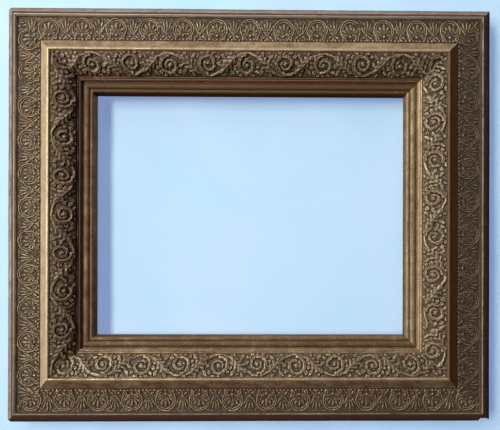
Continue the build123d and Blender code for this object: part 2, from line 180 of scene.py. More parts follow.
def number_prop(name, description, default):
    """A plain number."""
    return bpy.props.FloatProperty(name=name, description=description, default=default)


def colour_prop(name, description, default):
    """A linear colour."""
    return bpy.props.FloatVectorProperty(
        name=name, description=description, default=default, subtype="COLOR", size=3, min=0, max=1
    )


class MouldingSizes(bpy.types.PropertyGroup):
    """Shapes of the three mouldings that the solids' boxes don't give."""

    crown: length_prop("Rim crown", "Distance of the rim's ridge from the outer edge", 0.0112)
    rim_fall: length_prop("Rim fall", "Fall of the rim from its ridge to the frame's side", 0.010)
    rim_swell: length_prop("Rim swell", "Rise of the rim's outer slope over its chord", 0.0012)
    rim_foot: length_prop("Rim foot", "Height of the rim's inner edge over the outer bed", 0.0025)
    strip: length_prop("Strip", "Thickness of the cast strips' ground", 0.0015)
    crest: length_prop("Crest", "Width of the crest bead", 0.003)
    crest_step: length_prop("Crest step", "Drop from the crest to the inner frieze's ground", 0.001)
    swell: length_prop("Swell", "Rise of the inner frieze's ground over its chord", 0.003)
    bed_drop: length_prop("Bed drop", "Fall of the inner frieze's ground from crest to foot", 0.012)
    foot_bead: length_prop("Foot bead", "Width of each of the two foot beads", 0.0021)
    foot_drop: length_prop("Foot drop", "Drop from the inner frieze's foot to the first bead's base", 0.0021)
    foot_step: length_prop("Foot step", "Drop from the first bead's base to the second's", 0.0007)
    quirk: length_prop("Quirk", "Width of the dark quirk beside the foot beads", 0.0016)
    quirk_rise: length_prop("Quirk rise", "Height of the quirk's floor over the rebate's ledge", 0.009)
    ridge: length_prop("Ridge", "Width of the sight rail's main ridge", 0.0071)
    ridge_rise: length_prop("Ridge rise", "Height of the main ridge over the ledge", 0.0122)
    ridge_lean: number_prop("Ridge lean", "Where the main ridge's top lies across its width", 0.65)
    valley_rise: length_prop("Valley rise", "Height of the valley between the ridges", 0.0095)
    lip_ridge: length_prop("Lip ridge", "Width of the ridge beside the sight edge", 0.0036)
    lip_rise: length_prop("Lip ridge rise", "Height of the lip ridge over the ledge", 0.0108)
    lip_edge: length_prop("Sight edge", "Thickness of the sight edge", 0.002)
    key_leg: length_prop("Key leg", "Length of a mitre key along either side of its corner", 0.022)
    edge_round: length_prop("Edge rounding", "Radius that handling has worn on sharp edges", 0.0005)
    wobble: length_prop("Wobble", "Unevenness of the hand-laid ground under the gilding", 0.00012)


class OrnamentSizes(bpy.types.PropertyGroup):
    """Repeat, start and relief of the cast ornament, and the wear of the corners."""

    arch_pitch: length_prop("Arch pitch", "Distance between two arches of the outer frieze", 0.0365)
    arch_radius: length_prop("Arch radius", "Radius of an arch's outer band", 0.0109)
    arch_relief: length_prop("Outer relief", "Height of the outer frieze's ornament", 0.0021)
    scroll_pitch: length_prop("Scroll pitch", "Distance between two scrolls of the inner frieze", 0.0414)
    scroll_radius: length_prop("Scroll radius", "Outer radius of a scroll", 0.0104)
    scroll_relief: length_prop("Inner relief", "Height of the inner frieze's ornament", 0.0036)
    arch_start: length_prop(
        "Arch starts",
        "Place of an arch on the top, bottom, left and right rail, from the rail's middle",
        (0.0, 0.0182, -0.0075, 0.0152),
    )
    scroll_start: length_prop(
        "Scroll starts",
        "Place of a scroll on the top, bottom, left and right rail, from the rail's middle",
        (0.0032, 0.0087, 0.0, 0.0182),
    )
    corner_wear: length_prop(
        "Corner wear",
        "Radius worn on the top left, top right, bottom left and bottom right corner",
        (0.006, 0.0015, 0.006, 0.002),
    )
    chip_length: length_prop("Chip length", "Length of the chip at the bottom right corner", 0.0115)
    chip_depth: length_prop("Chip depth", "Depth of the chip at the bottom right corner", 0.0028)
    fine_step: length_prop("Fine step", "Spacing of the points on the ornament", 0.00043)


class FinishColours(bpy.types.PropertyGroup):
    """Colours of the finishes, the hardware and the stage."""

    gold: colour_prop("Gold", "Bronze gold of the gilding", (0.74, 0.57, 0.33))
    # Rubbed gold on the high places, partly a painted highlight
    rubbed_gold_and_highlight: colour_prop("Rubbed gold", "Gold that hands have polished on high places", (0.78, 0.63, 0.4))
    # This ground, and the rim's and sight rail's darker grounds, also paint shade where the wear is raised on
    # the sides that face away from the light
    bole: colour_prop("Bole", "Red-brown ground that shows through the gilding", (0.18, 0.075, 0.03))
    cast_gold: colour_prop("Cast gold", "Duller gold of the cast ornament", (0.38, 0.285, 0.165))
    # Rubbed cast gold on the ornament's high places, partly a painted highlight
    cast_rubbed_and_highlight: colour_prop("Rubbed cast", "Gold on the cast ornament's high places", (0.62, 0.485, 0.285))
    # The rim's grey gold is partly dust and partly painted reflected light from the pale sheet
    rim_gold_and_reflection: colour_prop("Rim gold", "Dusty grey gold of the rim", (0.56, 0.47, 0.37))
    # Paler rubbed grey on the rim, partly a painted highlight
    rim_rubbed_and_highlight: colour_prop("Rubbed rim", "Paler grey gold where the rim is rubbed", (0.62, 0.54, 0.45))
    dark_bole: colour_prop("Dark bole", "Darker ground that shows on the rim", (0.1, 0.045, 0.022))
    sight_gold: colour_prop("Sight gold", "Brown gold of the sight rail", (0.48, 0.36, 0.19))
    sight_bole: colour_prop("Sight bole", "Brown ground that shows on the sight rail", (0.13, 0.062, 0.02))
    # The grime colour also paints shade where the grime shift is raised on shaded sides
    grime_and_shade: colour_prop("Grime_and_shade", "Dirt and wax in the hollows", (0.062, 0.041, 0.023))
    pine: colour_prop("Pine", "Aged bare pine", (0.34, 0.2, 0.095))
    pine_dark: colour_prop("Pine grain", "Darker late wood of the pine", (0.17, 0.085, 0.035))
    hardwood: colour_prop("Hardwood", "Brown hardwood of the mitre keys", (0.16, 0.075, 0.032))
    brass: colour_prop("Brass", "Brass of the turn buttons and hangers", (0.6, 0.42, 0.16))
    tarnish: colour_prop("Tarnish", "Brown tarnish on the brass", (0.13, 0.075, 0.03))
    steel: colour_prop("Steel", "Steel of the nails, screws and rings", (0.36, 0.35, 0.34))
    rust: colour_prop("Rust", "Rust on the steel", (0.14, 0.05, 0.02))
    sheet: colour_prop("Sheet", "Pale blue-white sheet behind the frame", (0.45, 0.67, 0.6))
    sheet_glow: colour_prop("Sheet glow", "Light of the sheet in the frame's shadow", (0.175, 0.26, 0.5))
    floor: colour_prop("Floor", "Pale floor", (0.4, 0.42, 0.44))
    floor_pale: colour_prop("Floor clouds", "Paler clouds on the floor", (0.44, 0.46, 0.48))
    floor_glow: colour_prop("Floor glow", "Even light that the floor has in the shade", (0.46, 0.5, 0.55))
    backdrop: colour_prop("Backdrop", "Plain pale room that the camera sees", (0.82, 0.88, 0.96))
    window: colour_prop("Window", "Light from the window side", (0.82, 0.92, 1.0))
    room: colour_prop("Room", "Dim light from the rest of the room", (0.03, 0.025, 0.022))


def in_millimetres(group):
    """A property group's values, with its lengths in millimetres."""
    values = {}
    for name in group.__annotations__:
        value = getattr(group, name)
        if group.bl_rna.properties[name].unit == "LENGTH":
            value = np.array(value) / MM
        values[name] = value
    return SimpleNamespace(**values)


def smooth_step(low, high, value):
    """0 below low, 1 above high, and a smooth S curve between."""
    t = np.clip((value - low) / (high - low), 0, 1)
    return t * t * (3 - 2 * t)


def lattice_noise(a, b, seed):
    """Smooth noise from -1 to 1: seeded random values on the whole numbers of a plane, joined by S curves."""
    table = np.random.default_rng(seed).uniform(-1, 1, (NOISE_CELLS, NOISE_CELLS))
    ia, ib = np.floor(a).astype(int), np.floor(b).astype(int)
    fa, fb = a - ia, b - ib
    fa, fb = fa * fa * (3 - 2 * fa), fb * fb * (3 - 2 * fb)
    here, there = ia % NOISE_CELLS, (ia + 1) % NOISE_CELLS
    below, above = ib % NOISE_CELLS, (ib + 1) % NOISE_CELLS
    low = table[here, below] * (1 - fa) + table[there, below] * fa
    high = table[here, above] * (1 - fa) + table[there, above] * fa
    return low * (1 - fb) + high * fb


def layered_noise(a, b, seed, layers=3):
    """Layers of lattice noise, each at twice the frequency and half the height of the one before."""
    total = np.zeros(np.broadcast(a, b).shape)
    for layer in range(layers):
        total += lattice_noise(a * 2**layer, b * 2**layer, seed + layer) / 2**layer
    return total


def side_seed(side):
    """A number of its own for each side, so that no two rails wear alike."""
    return FIRST_SEED + SEED_STEP * SIDES.index(side)


def mm_box(node):
    """A solid's lowest and highest corner, in millimetres."""
    low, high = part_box(node)
    return np.array(low) / MM, np.array(high) / MM


def section_lines():
    """Distances in from the outer edge and heights off the wall, in millimetres, from the solids' boxes."""
    rail, frieze, middle, inner, sight, back = (
        mm_box(f"{kind}_top")
        for kind in ("outer_rail", "outer_frieze", "middle_rail", "inner_frieze", "sight_rail", "back_rail")
    )
    upright = mm_box("outer_rail_left")
    low, high = 0, 1
    edge = rail[high][2]
    return {
        "width": rail[high][0] - rail[low][0],
        "height": upright[high][2] - upright[low][2],
        "outer_end": edge - rail[low][2],
        "rim_end": edge - frieze[high][2],
        "inner_bed": edge - inner[high][2],
        "foot": edge - inner[low][2],
        "middle_end": edge - middle[low][2],
        "sight": edge - sight[low][2],
        "tongue": edge - back[high][2],
        "ledge_h": -sight[high][1],
        "bed_h": -frieze[high][1],
        "rim_h": -rail[low][1],
        "crest_h": -middle[low][1],
    }


def half_length(lines, side):
    """Half of a rail's outer length."""
    return (lines["width"] if side in ("top", "bottom") else lines["height"]) / 2


def rail_to_frame(lines, side, along, inward, off_wall):
    """Points of a rail, given along it, in from its outer edge and off the wall, as metres in the frame."""
    half_w, half_h = lines["width"] / 2, lines["height"] / 2
    if side == "top":
        x, z = -along, half_h - inward
    elif side == "bottom":
        x, z = along, inward - half_h
    elif side == "left":
        x, z = inward - half_w, -along
    else:
        x, z = half_w - inward, along
    return np.stack([x, -off_wall, z], axis=-1) * MM


def path_lengths(points):
    """The distance travelled to each point of a path."""
    return np.concatenate([[0], np.cumsum(np.linalg.norm(np.diff(points, axis=0), axis=1))])


def follow(stations, travel, points):
    """Places at given distances along a path of points."""
    return np.stack([np.interp(stations, travel, points[:, axis]) for axis in (0, 1)], 1)


def rounded_outline(corners, step):
    """A closed section from corners of (d, h, radius): each corner is cut back along both its sides by the
    radius and joined by a quadratic curve, and each straight run is divided at about the step."""
    points = np.array([corner[:2] for corner in corners], float)
    radii = np.array([corner[2] for corner in corners], float)
    before, after = np.roll(points, 1, 0) - points, np.roll(points, -1, 0) - points
    room_before, room_after = np.linalg.norm(before, axis=1), np.linalg.norm(after, axis=1)
    cut = np.minimum(radii, CORNER_SHARE * np.minimum(room_before, room_after))[:, None]
    start = points + before / room_before[:, None] * cut
    end = points + after / room_after[:, None] * cut
    bend = np.linspace(0, 1, CURVE_POINTS)[None, :, None]
    curves = (1 - bend) ** 2 * start[:, None] + 2 * bend * (1 - bend) * points[:, None]
    outline = (curves + bend**2 * end[:, None]).reshape(-1, 2)
    closed = np.vstack([outline, outline[:1]])
    travel = path_lengths(closed)
    stations = np.union1d(travel, np.arange(0, travel[-1], step))
    stations = stations[:-1][np.diff(stations) > step * LEAST_STEP]
    return follow(stations, travel, closed)


def arc_points(start, top, end, count):
    """Points on the circle through three points, from the first to the last, going by the middle one."""
    (ax, ay), (bx, by), (cx, cy) = start, top, end
    twice = 2 * (ax * (by - cy) + bx * (cy - ay) + cx * (ay - by))
    sa, sb, sc = ax * ax + ay * ay, bx * bx + by * by, cx * cx + cy * cy
    centre_x = (sa * (by - cy) + sb * (cy - ay) + sc * (ay - by)) / twice
    centre_y = (sa * (cx - bx) + sb * (ax - cx) + sc * (bx - ax)) / twice
    radius = math.hypot(ax - centre_x, ay - centre_y)
    first, middle, last = (math.atan2(y - centre_y, x - centre_x) for x, y in (start, top, end))
    middle = first + (middle - first + math.pi) % (2 * math.pi) - math.pi
    last = middle + (last - middle + math.pi) % (2 * math.pi) - math.pi
    angles = np.linspace(first, last, count)
    return np.stack([centre_x + radius * np.cos(angles), centre_y + radius * np.sin(angles)], 1)


def sharp(points):
    """Corners for rounded_outline from plain points, with no rounding."""
    return [(d, h, 0.0) for d, h in points]


def outer_section(lines, sizes):
    """Rim with a swelling outer slope and a short inner one, the flat frieze bed and the step at the back."""
    edge, crown, fall = sizes.edge_round, sizes.crown, sizes.rim_fall
    rim_h, bed_h, ledge_h = lines["rim_h"], lines["bed_h"], lines["ledge_h"]
    rim_end, outer_end, tongue = lines["rim_end"], lines["outer_end"], lines["tongue"]
    swell = sizes.rim_swell / math.hypot(crown, fall)
    middle = (crown / 2 - swell * fall, rim_h - fall / 2 + swell * crown)
    slope = arc_points((0, rim_h - fall), middle, (crown, rim_h), count=18)
    corners = [(0, 0, 2 * edge), (*slope[0], 2 * edge)] + sharp(slope[1:-1]) + [(*slope[-1], 2 * edge)]
    corners += [(rim_end, bed_h + sizes.rim_foot, 0.5 * edge)]
    corners += sharp([(rim_end, bed_h), (outer_end, bed_h), (outer_end, ledge_h), (tongue, ledge_h)])
    corners += [(tongue, 0, edge)]
    return rounded_outline(corners, SECTION_STEP["outer_rail"])


def swell_points(lines, sizes, offset, count):
    """Points on the arc of the inner frieze's ground, from crest to foot, moved out along its radius by an
    offset, and the ways that they face. The arc stands over its chord by the swell."""
    start_d, end_d = lines["inner_bed"], lines["foot"]
    wide, drop, swell = end_d - start_d, sizes.bed_drop, sizes.swell
    top_h = lines["crest_h"] - sizes.crest / 2 - sizes.crest_step
    chord = math.hypot(wide, drop)
    radius = chord**2 / (8 * swell) + swell / 2
    back = (radius - swell) / chord
    centre = np.array([start_d + wide / 2 - drop * back, top_h - drop / 2 - wide * back])
    d = np.linspace(start_d, end_d, count)
    out = radius + offset
    h = centre[1] + np.sqrt(out**2 - (d - centre[0]) ** 2)
    normal = np.stack([d - centre[0], h - centre[1]], 1) / out
    return np.stack([d, h], 1), normal


def middle_section(lines, sizes):
    """Sloping band, crest bead, lowered bed of the inner frieze, two foot beads and a flat back."""
    edge, bead = sizes.edge_round, sizes.foot_bead
    ledge_h, outer_end, middle_end = lines["ledge_h"], lines["outer_end"], lines["middle_end"]
    band_h = lines["crest_h"] - sizes.crest / 2
    ground_h = lines["bed_h"] + sizes.strip
    crest_d = lines["inner_bed"] - sizes.crest
    crest_top = (crest_d + sizes.crest / 2, lines["crest_h"])
    bed, _ = swell_points(lines, sizes, -sizes.strip, count=24)
    corners = sharp([(middle_end, ledge_h), (outer_end, ledge_h)])
    corners += [(outer_end, ground_h, 0.3 * edge), (crest_d, band_h, 0.5 * edge)]
    corners += sharp(arc_points((crest_d, band_h), crest_top, (lines["inner_bed"], band_h), count=12)[1:])
    corners += sharp(bed)
    foot_h = lines["crest_h"] - sizes.crest / 2 - sizes.crest_step - sizes.bed_drop
    for number in range(2):
        start_d = lines["foot"] + number * bead
        base_h = foot_h - sizes.foot_drop - number * sizes.foot_step
        bead_top = (start_d + bead / 2, base_h + bead / 2)
        corners += sharp(arc_points((start_d, base_h), bead_top, (start_d + bead, base_h), count=10))
    corners += [(middle_end, corners[-1][1], 0)]
    return rounded_outline(corners, SECTION_STEP["middle_rail"])


def sight_section(lines, sizes):
    """Quirk, round main ridge, valley, lip ridge, slope down to the sight edge, and the rebate's flat
    ledge."""
    ledge, middle_end, sight = lines["ledge_h"], lines["middle_end"], lines["sight"]
    ridge_d = middle_end + sizes.quirk
    valley_d = ridge_d + sizes.ridge
    slope_d = valley_d + sizes.lip_ridge
    quirk_h, valley_h = ledge + sizes.quirk_rise, ledge + sizes.valley_rise
    ridge_top = (ridge_d + sizes.ridge * sizes.ridge_lean, ledge + sizes.ridge_rise)
    lip_top = (valley_d + sizes.lip_ridge / 2, ledge + sizes.lip_rise)
    corners = sharp([(middle_end, ledge), (middle_end, quirk_h)])
    corners += sharp(arc_points((ridge_d, quirk_h), ridge_top, (valley_d, valley_h), count=20))
    corners += sharp(arc_points((valley_d, valley_h), lip_top, (slope_d, valley_h), count=14)[1:])
    corners += [(sight, ledge + sizes.lip_edge, sizes.edge_round), (sight, ledge, 0)]
    return rounded_outline(corners, SECTION_STEP["sight_rail"])


def running_mean(values, reach, axis):
    """Mean over a window of 2 x reach + 1 places along an axis, with the end values carried on."""
    pad = [(0, 0)] * values.ndim
    pad[axis] = (reach + 1, reach)
    total = np.cumsum(np.pad(values, pad, mode="edge"), axis=axis)
    span = 2 * reach + 1
    ahead = np.take(total, np.arange(span, total.shape[axis]), axis=axis)
    behind = np.take(total, np.arange(0, total.shape[axis] - span), axis=axis)
    return (ahead - behind) / span


def section_relief(outline):
    """How far each point of a closed section stands proud of its neighbourhood, from -1 to 1, and a second
    array that is 1 where the section faces the wall."""
    reach, lap, full = 5, 12, 0.45
    ring = np.vstack([outline[-lap:], outline, outline[:lap]])
    proud = (ring[:, 1] - running_mean(ring[:, 1], reach, 0))[lap:-lap]
    way = np.roll(outline, -1, 0) - np.roll(outline, 1, 0)
    faces_wall = (way[:, 0] < -1e-4) & (np.abs(way[:, 1]) < 2 * np.abs(way[:, 0]))
    return np.clip(proud / full, -1, 1), faces_wall.astype(float)


def needed_points(lines, outline, faces_wall):
    """Which points of a section its mesh needs: all that show or lie on a bend, and one in so many of those
    on straight runs that face the wall, lie low in the section or lie under a frieze."""
    before, after = outline - np.roll(outline, 1, 0), np.roll(outline, -1, 0) - outline
    turn = np.abs(before[:, 0] * after[:, 1] - before[:, 1] * after[:, 0])
    bend = turn > 1e-4 * np.linalg.norm(before, axis=1) * np.linalg.norm(after, axis=1)
    d, h = outline[:, 0], outline[:, 1]
    low = (d > lines["rim_end"]) & (h < lines["bed_h"] + 0.1)
    under_frieze = (d > lines["inner_bed"]) & (d < lines["foot"])
    plain = (faces_wall > 0) | low | under_frieze
    return bend | ~plain | (np.arange(len(outline)) % KEPT_POINT == 0)


def section_wear_and_shade(kind, outline):
    """How the loss of gilding varies across a section: less on what stands proud. On the outer rail the mask
    also darkens a band along the outer edge, and a band of painted shade below the ridge that stops short of
    it, so that the ridge stays bright."""
    proud, _ = section_relief(outline)
    worn = -0.35 * proud
    if kind == "outer_rail":
        d = outline[:, 0]
        # A darker band at the outer edge, and painted shade on the band below the ridge
        at_edge = 0.9 * smooth_step(2.0, 0.8, d)
        by_ridge = 0.7 * smooth_step(7.0, 8.5, d) * smooth_step(11.0, 10.2, d)
        worn = worn + at_edge + by_ridge
    return worn


def worn_corner(lines, ornament, side, along, inward):
    """Distance in from the outer edge after the corners are worn: near an end, the outer edge follows a
    quarter circle of the worn radius, and the points behind it close up in proportion. A chip cuts the edge
    further."""
    half = half_length(lines, side)
    moved = inward.copy()
    for end, corner in zip((-1, 1), RAIL_ENDS[side]):
        radius = ornament.corner_wear[CORNERS.index(corner)]
        past = np.clip((end * along - (half - radius)) / radius, 0, 1)
        bite = radius * (1 - np.sqrt(1 - CORNER_TURN * past**2))
        if corner == CHIPPED_CORNER and side == "bottom":
            break_at = half - ornament.chip_length
            ragged = 0.5 * lattice_noise(along * 0.9, inward * 0.3, CHIP_SEED)
            bite = bite + ornament.chip_depth * smooth_step(break_at - 1.2, break_at, end * along + ragged)
        reach = 3 * radius + 4
        moved += bite * np.clip(1 - inward / reach, 0, 1)
    return moved


def chipped_end(along, limit):
    """Stations of a rail whose first end is broken off: what lies past the limit is pressed back to it."""
    return along + CHIP_PRESS * np.clip(-along - limit, 0, None)


def new_piece(name, mesh):
    """An object at the origin for a mesh."""
    piece = bpy.data.objects.new(name, mesh)
    bpy.context.scene.collection.objects.link(piece)
    return piece


def skin(name, side, lines, along, inward, off_wall, masks, around):
    """A closed mesh over a grid of stations along a rail (rows) by points round a section (columns): quads
    between neighbours and a flat face at each end, turned outwards by the sign of its volume. The masks
    become attributes, and the map holds the distance along the rail and round the section, in metres."""
    points = rail_to_frame(lines, side, along, inward, off_wall)
    rows, columns = along.shape
    index = np.arange(rows * columns).reshape(rows, columns)
    ahead = np.roll(index, -1, axis=1)
    quads = np.stack([index[:-1], ahead[:-1], ahead[1:], index[1:]], axis=-1).reshape(-1, 4)
    flat = points.reshape(-1, 3)
    corner = flat[quads]
    volume = np.einsum("ij,ij->i", corner[:, 0], np.cross(corner[:, 1], corner[:, 2])).sum()
    volume += np.einsum("ij,ij->i", corner[:, 0], np.cross(corner[:, 2], corner[:, 3])).sum()
    first, last = index[0][::-1], index[-1]
    if volume < 0:
        quads, first, last = quads[:, ::-1], first[::-1], last[::-1]
    loops = np.concatenate([quads.ravel(), first, last])
    starts = np.concatenate([np.arange(len(quads)) * 4, [quads.size, quads.size + columns]])
    mesh = bpy.data.meshes.new(name)
    mesh.vertices.add(len(flat))
    mesh.vertices.foreach_set("co", flat.ravel())
    mesh.loops.add(len(loops))
    mesh.loops.foreach_set("vertex_index", loops.astype(np.int32))
    mesh.polygons.add(len(starts))
    mesh.polygons.foreach_set("loop_start", starts.astype(np.int32))
    mesh.polygons.foreach_set("use_smooth", np.ones(len(starts), bool))
    mesh.update(calc_edges=True)
    for mask, values in masks.items():
        layer = mesh.attributes.new(mask, "FLOAT", "POINT")
        layer.data.foreach_set("value", np.ascontiguousarray(values, np.float32).ravel())
    chart = np.stack([along.ravel() * MM, around.ravel() * MM], axis=1)[loops]
    mesh.uv_layers.new(name="along_rail").data.foreach_set("uv", chart.astype(np.float32).ravel())
    mesh.set_sharp_from_angle(angle=math.radians(SHARP_ANGLE))
    return new_piece(name, mesh)


def rail_stations():
    """Stations from -1 to 1 along a rail, set closer together near its two ends."""
    even = np.linspace(-1, 1, RAIL_STATIONS)
    near = 1 - END_SHARE * np.linspace(0, 1, END_STATIONS) ** 1.5
    return np.union1d(even, np.concatenate([near, -near]))


def moulding(name, side, lines, outline, sizes, ornament, worn, grime_and_shade):
    """A mitred length of moulding: a closed section carried along a rail, where each point's reach to
    either side is half the rail's length less its distance in, so that the ends lie in the mitre planes.
    Worn says how much of the gilding is rubbed off at each point of the section, partly painted shade on the
    sides that face away from the light, and the grime shift how much deeper the dark grime lies there, which
    on the left foot beads is painted shade."""
    stations = rail_stations()[:, None]
    proud, bare = section_relief(outline)
    d, h = outline[:, 0][None, :], outline[:, 1][None, :]
    half = half_length(lines, side)
    along = stations * (half - d)
    around = np.broadcast_to(path_lengths(outline)[None, :], along.shape)
    seed = side_seed(side) + len(name)
    uneven = layered_noise(along / 9, around / 5, seed) * sizes.wobble
    dents = smooth_step(0.62, 0.95, lattice_noise(along / 6, around / 4, seed + 3))
    dents = dents * np.clip(proud, 0, 1)[None, :] * DENT_DEPTH
    front = 1 - bare[None, :]
    off_wall = h + (uneven - dents) * front
    inward = worn_corner(lines, ornament, side, along, np.broadcast_to(d, along.shape))
    if CHIPPED_CORNER == RAIL_ENDS[side][0]:
        along = chipped_end(along, half - ornament.chip_depth)
    bow = lattice_noise(stations * 3, np.zeros((1, 1)), seed + 5) * EDGE_BOW
    inward = inward + bow * front * np.clip(1 - d / BOW_REACH, 0, 1)
    needed = needed_points(lines, outline, bare)
    # The grime shift lowers proud, which deepens the dark grime; on the left foot beads that is painted
    # shade, and the worn mask carries painted shade on shaded sides
    masks = {"proud": proud - grime_and_shade - 0.8 * (dents > 0.1), "bare": bare, "worn": worn}
    masks = {mask: np.broadcast_to(values, along.shape)[:, needed] for mask, values in masks.items()}
    along, inward, off_wall, around = (grid[:, needed] for grid in (along, inward, off_wall, around))
    return skin(name, side, lines, along, inward, off_wall, masks, around)


def worn_keys(name, lines, sizes, ornament):
    """The four mitre keys as one mesh: three-cornered plates let into the frame's corners. Each tip is worn
    to the corner's quarter circle, and the chipped corner's key ends at the chip's floor."""
    front, back = (corner[1] for corner in mm_box("mitre_keys"))
    leg = sizes.key_leg
    sweep = np.linspace(0, math.pi / 2, KEY_POINTS)
    points, faces = [], []
    for corner, wear in zip(CORNERS, ornament.corner_wear):
        floor = ornament.chip_depth if corner == CHIPPED_CORNER else 0.0
        in_x = np.append(wear * (1 - np.sin(sweep)), [0.0, leg - floor])
        in_z = np.maximum(np.append(wear * (1 - np.cos(sweep)), [leg, 0.0]), floor)
        x = (lines["width"] / 2 - in_x) * (1 if corner.endswith("right") else -1)
        z = (lines["height"] / 2 - in_z) * (1 if corner.startswith("top") else -1)
        if (x * np.roll(z, -1) - np.roll(x, -1) * z).sum() < 0:
            x, z = x[::-1], z[::-1]
        ring = np.arange(len(x)) + sum(map(len, points))
        behind, ahead = ring + len(x), np.roll(ring, -1)
        points += [np.stack([x, np.full(x.shape, y), z], axis=1) for y in (front, back)]
        faces += [ring.tolist(), behind[::-1].tolist()]
        faces += np.stack([ring, behind, ahead + len(x), ahead], axis=1).tolist()
    mesh = bpy.data.meshes.new(name)
    mesh.from_pydata(np.concatenate(points) * MM, [], faces)
    return new_piece(name, mesh)


def rounded_ridge(distance, half_width, height):
    """A ridge with a round section: height x root of 1 less the square of distance over half width."""
    return height * np.sqrt(np.clip(1 - (distance / half_width) ** 2, 0, 1))


def petal(x, y, length, width, height, belly, groove=0.0):
    """A petal from its root along +y. Its half width swells as a sine of the way along, raised to a power
    that moves the belly to the tip, and its section is round, with a groove down the middle where asked."""
    way = np.clip(y / length, 1e-3, 1 - 1e-3)
    half = width / 2 * np.sin(np.pi * way**belly) ** 0.75 + 1e-6
    across = np.abs(x) / half
    body = np.sqrt(np.clip(1 - across**2, 0, 1)) * (1 - groove * np.clip(1 - across * 2.5, 0, 1))
    return np.where((y > 0) & (y < length), height * (0.55 + 0.45 * way) * body, 0)


def turned(x, y, degrees):
    """Coordinates along axes turned from +y towards +x."""
    turn = math.radians(degrees)
    return x * math.cos(turn) - y * math.sin(turn), x * math.sin(turn) + y * math.cos(turn)


def anthemion_relief(along, across, ornament, start, wide):
    """Height of the outer frieze's ornament, the highest of its forms. In one pitch: a double-banded round
    arch, open towards the band and ending in two small volutes, with a palmette of seven petals inside;
    half a pitch on, a fan of five blades over an inverted leaf; and a row of beads along the band."""
    pitch, arch, high = ornament.arch_pitch, ornament.arch_radius, ornament.arch_relief
    middle, root = wide / 2 - 0.3, 0.6 * arch
    x = (along - start + pitch / 2) % pitch - pitch / 2
    y = across - middle
    mirrored = np.abs(x)
    out = np.hypot(x, y)
    closed = np.abs(np.arctan2(x, y)) > 0.68
    outer_band = np.where(closed, rounded_ridge(out - arch, 0.9, 0.7 * high), 0)
    inner_band = np.where(closed, rounded_ridge(out - arch + 2.1, 0.75, 0.55 * high), 0)
    curl = np.hypot(mirrored - 0.66 * arch, y - 0.84 * arch)
    volute, volute_eye = rounded_ridge(curl - 1.6, 0.75, 0.85 * high), rounded_ridge(curl, 0.9, 0.8 * high)
    forms = [outer_band, inner_band, volute, volute_eye]
    for degrees, length in PETALS:
        leaf = turned(mirrored, root - y, degrees)
        forms.append(petal(*leaf, length * arch, 0.29 * arch, 0.85 * high, belly=1.8, groove=0.35))
    forms.append(rounded_ridge(np.hypot(x, y - root - 0.4), 1.7, 0.95 * high))
    between = pitch / 2 - mirrored
    for degrees, length in BLADES:
        blade = turned(between, root + 0.5 - y, degrees)
        forms.append(petal(*blade, length * arch, 0.2 * arch, 0.85 * high, belly=1.2, groove=0.3))
    forms.append(petal(between, y - root - 0.4, 5.2, 3.4, 0.95 * high, belly=1.0, groove=0.3))
    side_leaf = turned(between - 1.4, y - root + 0.4, 48)
    forms.append(petal(*side_leaf, 5.4, 2.4, 0.8 * high, belly=1.2))
    step = pitch / BEADS_PER_PITCH
    bead = np.hypot((x + step / 2) % step - step / 2, y - (wide / 2 - 1.0))
    forms.append(rounded_ridge(bead, 1.25, 0.65 * high))
    return np.maximum.reduce(forms)


def spiral_relief(x, y, radius, high):
    """A leafy scroll that winds in: at each turn the ridge's radius falls in proportion to the angle, its
    width and height with it. Notches from a sine of the angle cut its edge into lobes, and a fine groove
    follows it."""
    out = np.hypot(x, y)
    angle = (np.arctan2(y, x) + math.pi / 2) % (2 * math.pi)
    relief = np.zeros(x.shape)
    for turn in range(2):
        wound = angle + turn * 2 * math.pi
        share = wound / (2.7 * math.pi)
        line = radius * (1 - 0.66 * share)
        half = (2.3 - 0.9 * share) * (1 + 0.16 * np.sin(9 * wound))
        band = rounded_ridge(out - line, half, high * (0.95 - 0.15 * share))
        band = band - rounded_ridge(out - line - 0.4, 0.45, 0.3 * high)
        band = band * (1 - 0.22 * np.abs(np.sin(9 * wound + 2 * (out - line))))
        relief = np.maximum(relief, np.where(share < 1, band, 0))
    return relief


def acanthus_leaf(x, y, length, width, high):
    """A broad leaf centred on the origin along +y: lobed edges from a sine on its half width, a raised
    middle rib and furrows that run out from the rib."""
    way = np.clip(y / length + 0.5, 1e-3, 1 - 1e-3)
    half = width / 2 * np.sin(np.pi * way) ** 0.6 * (1 + 0.2 * np.sin(way * 9 * np.pi))
    across = np.abs(x) / (half + 1e-6)
    furrow = 0.72 + 0.28 * np.abs(np.sin((way * 4.5 - across * 0.9) * np.pi))
    body = np.clip(1 - across**2, 0, 1) ** 0.5 * furrow
    rib = np.clip(1 - across * 6, 0, 1) * 0.25
    return np.where(np.abs(y) < length / 2, high * (body + rib * (across < 1)), 0)


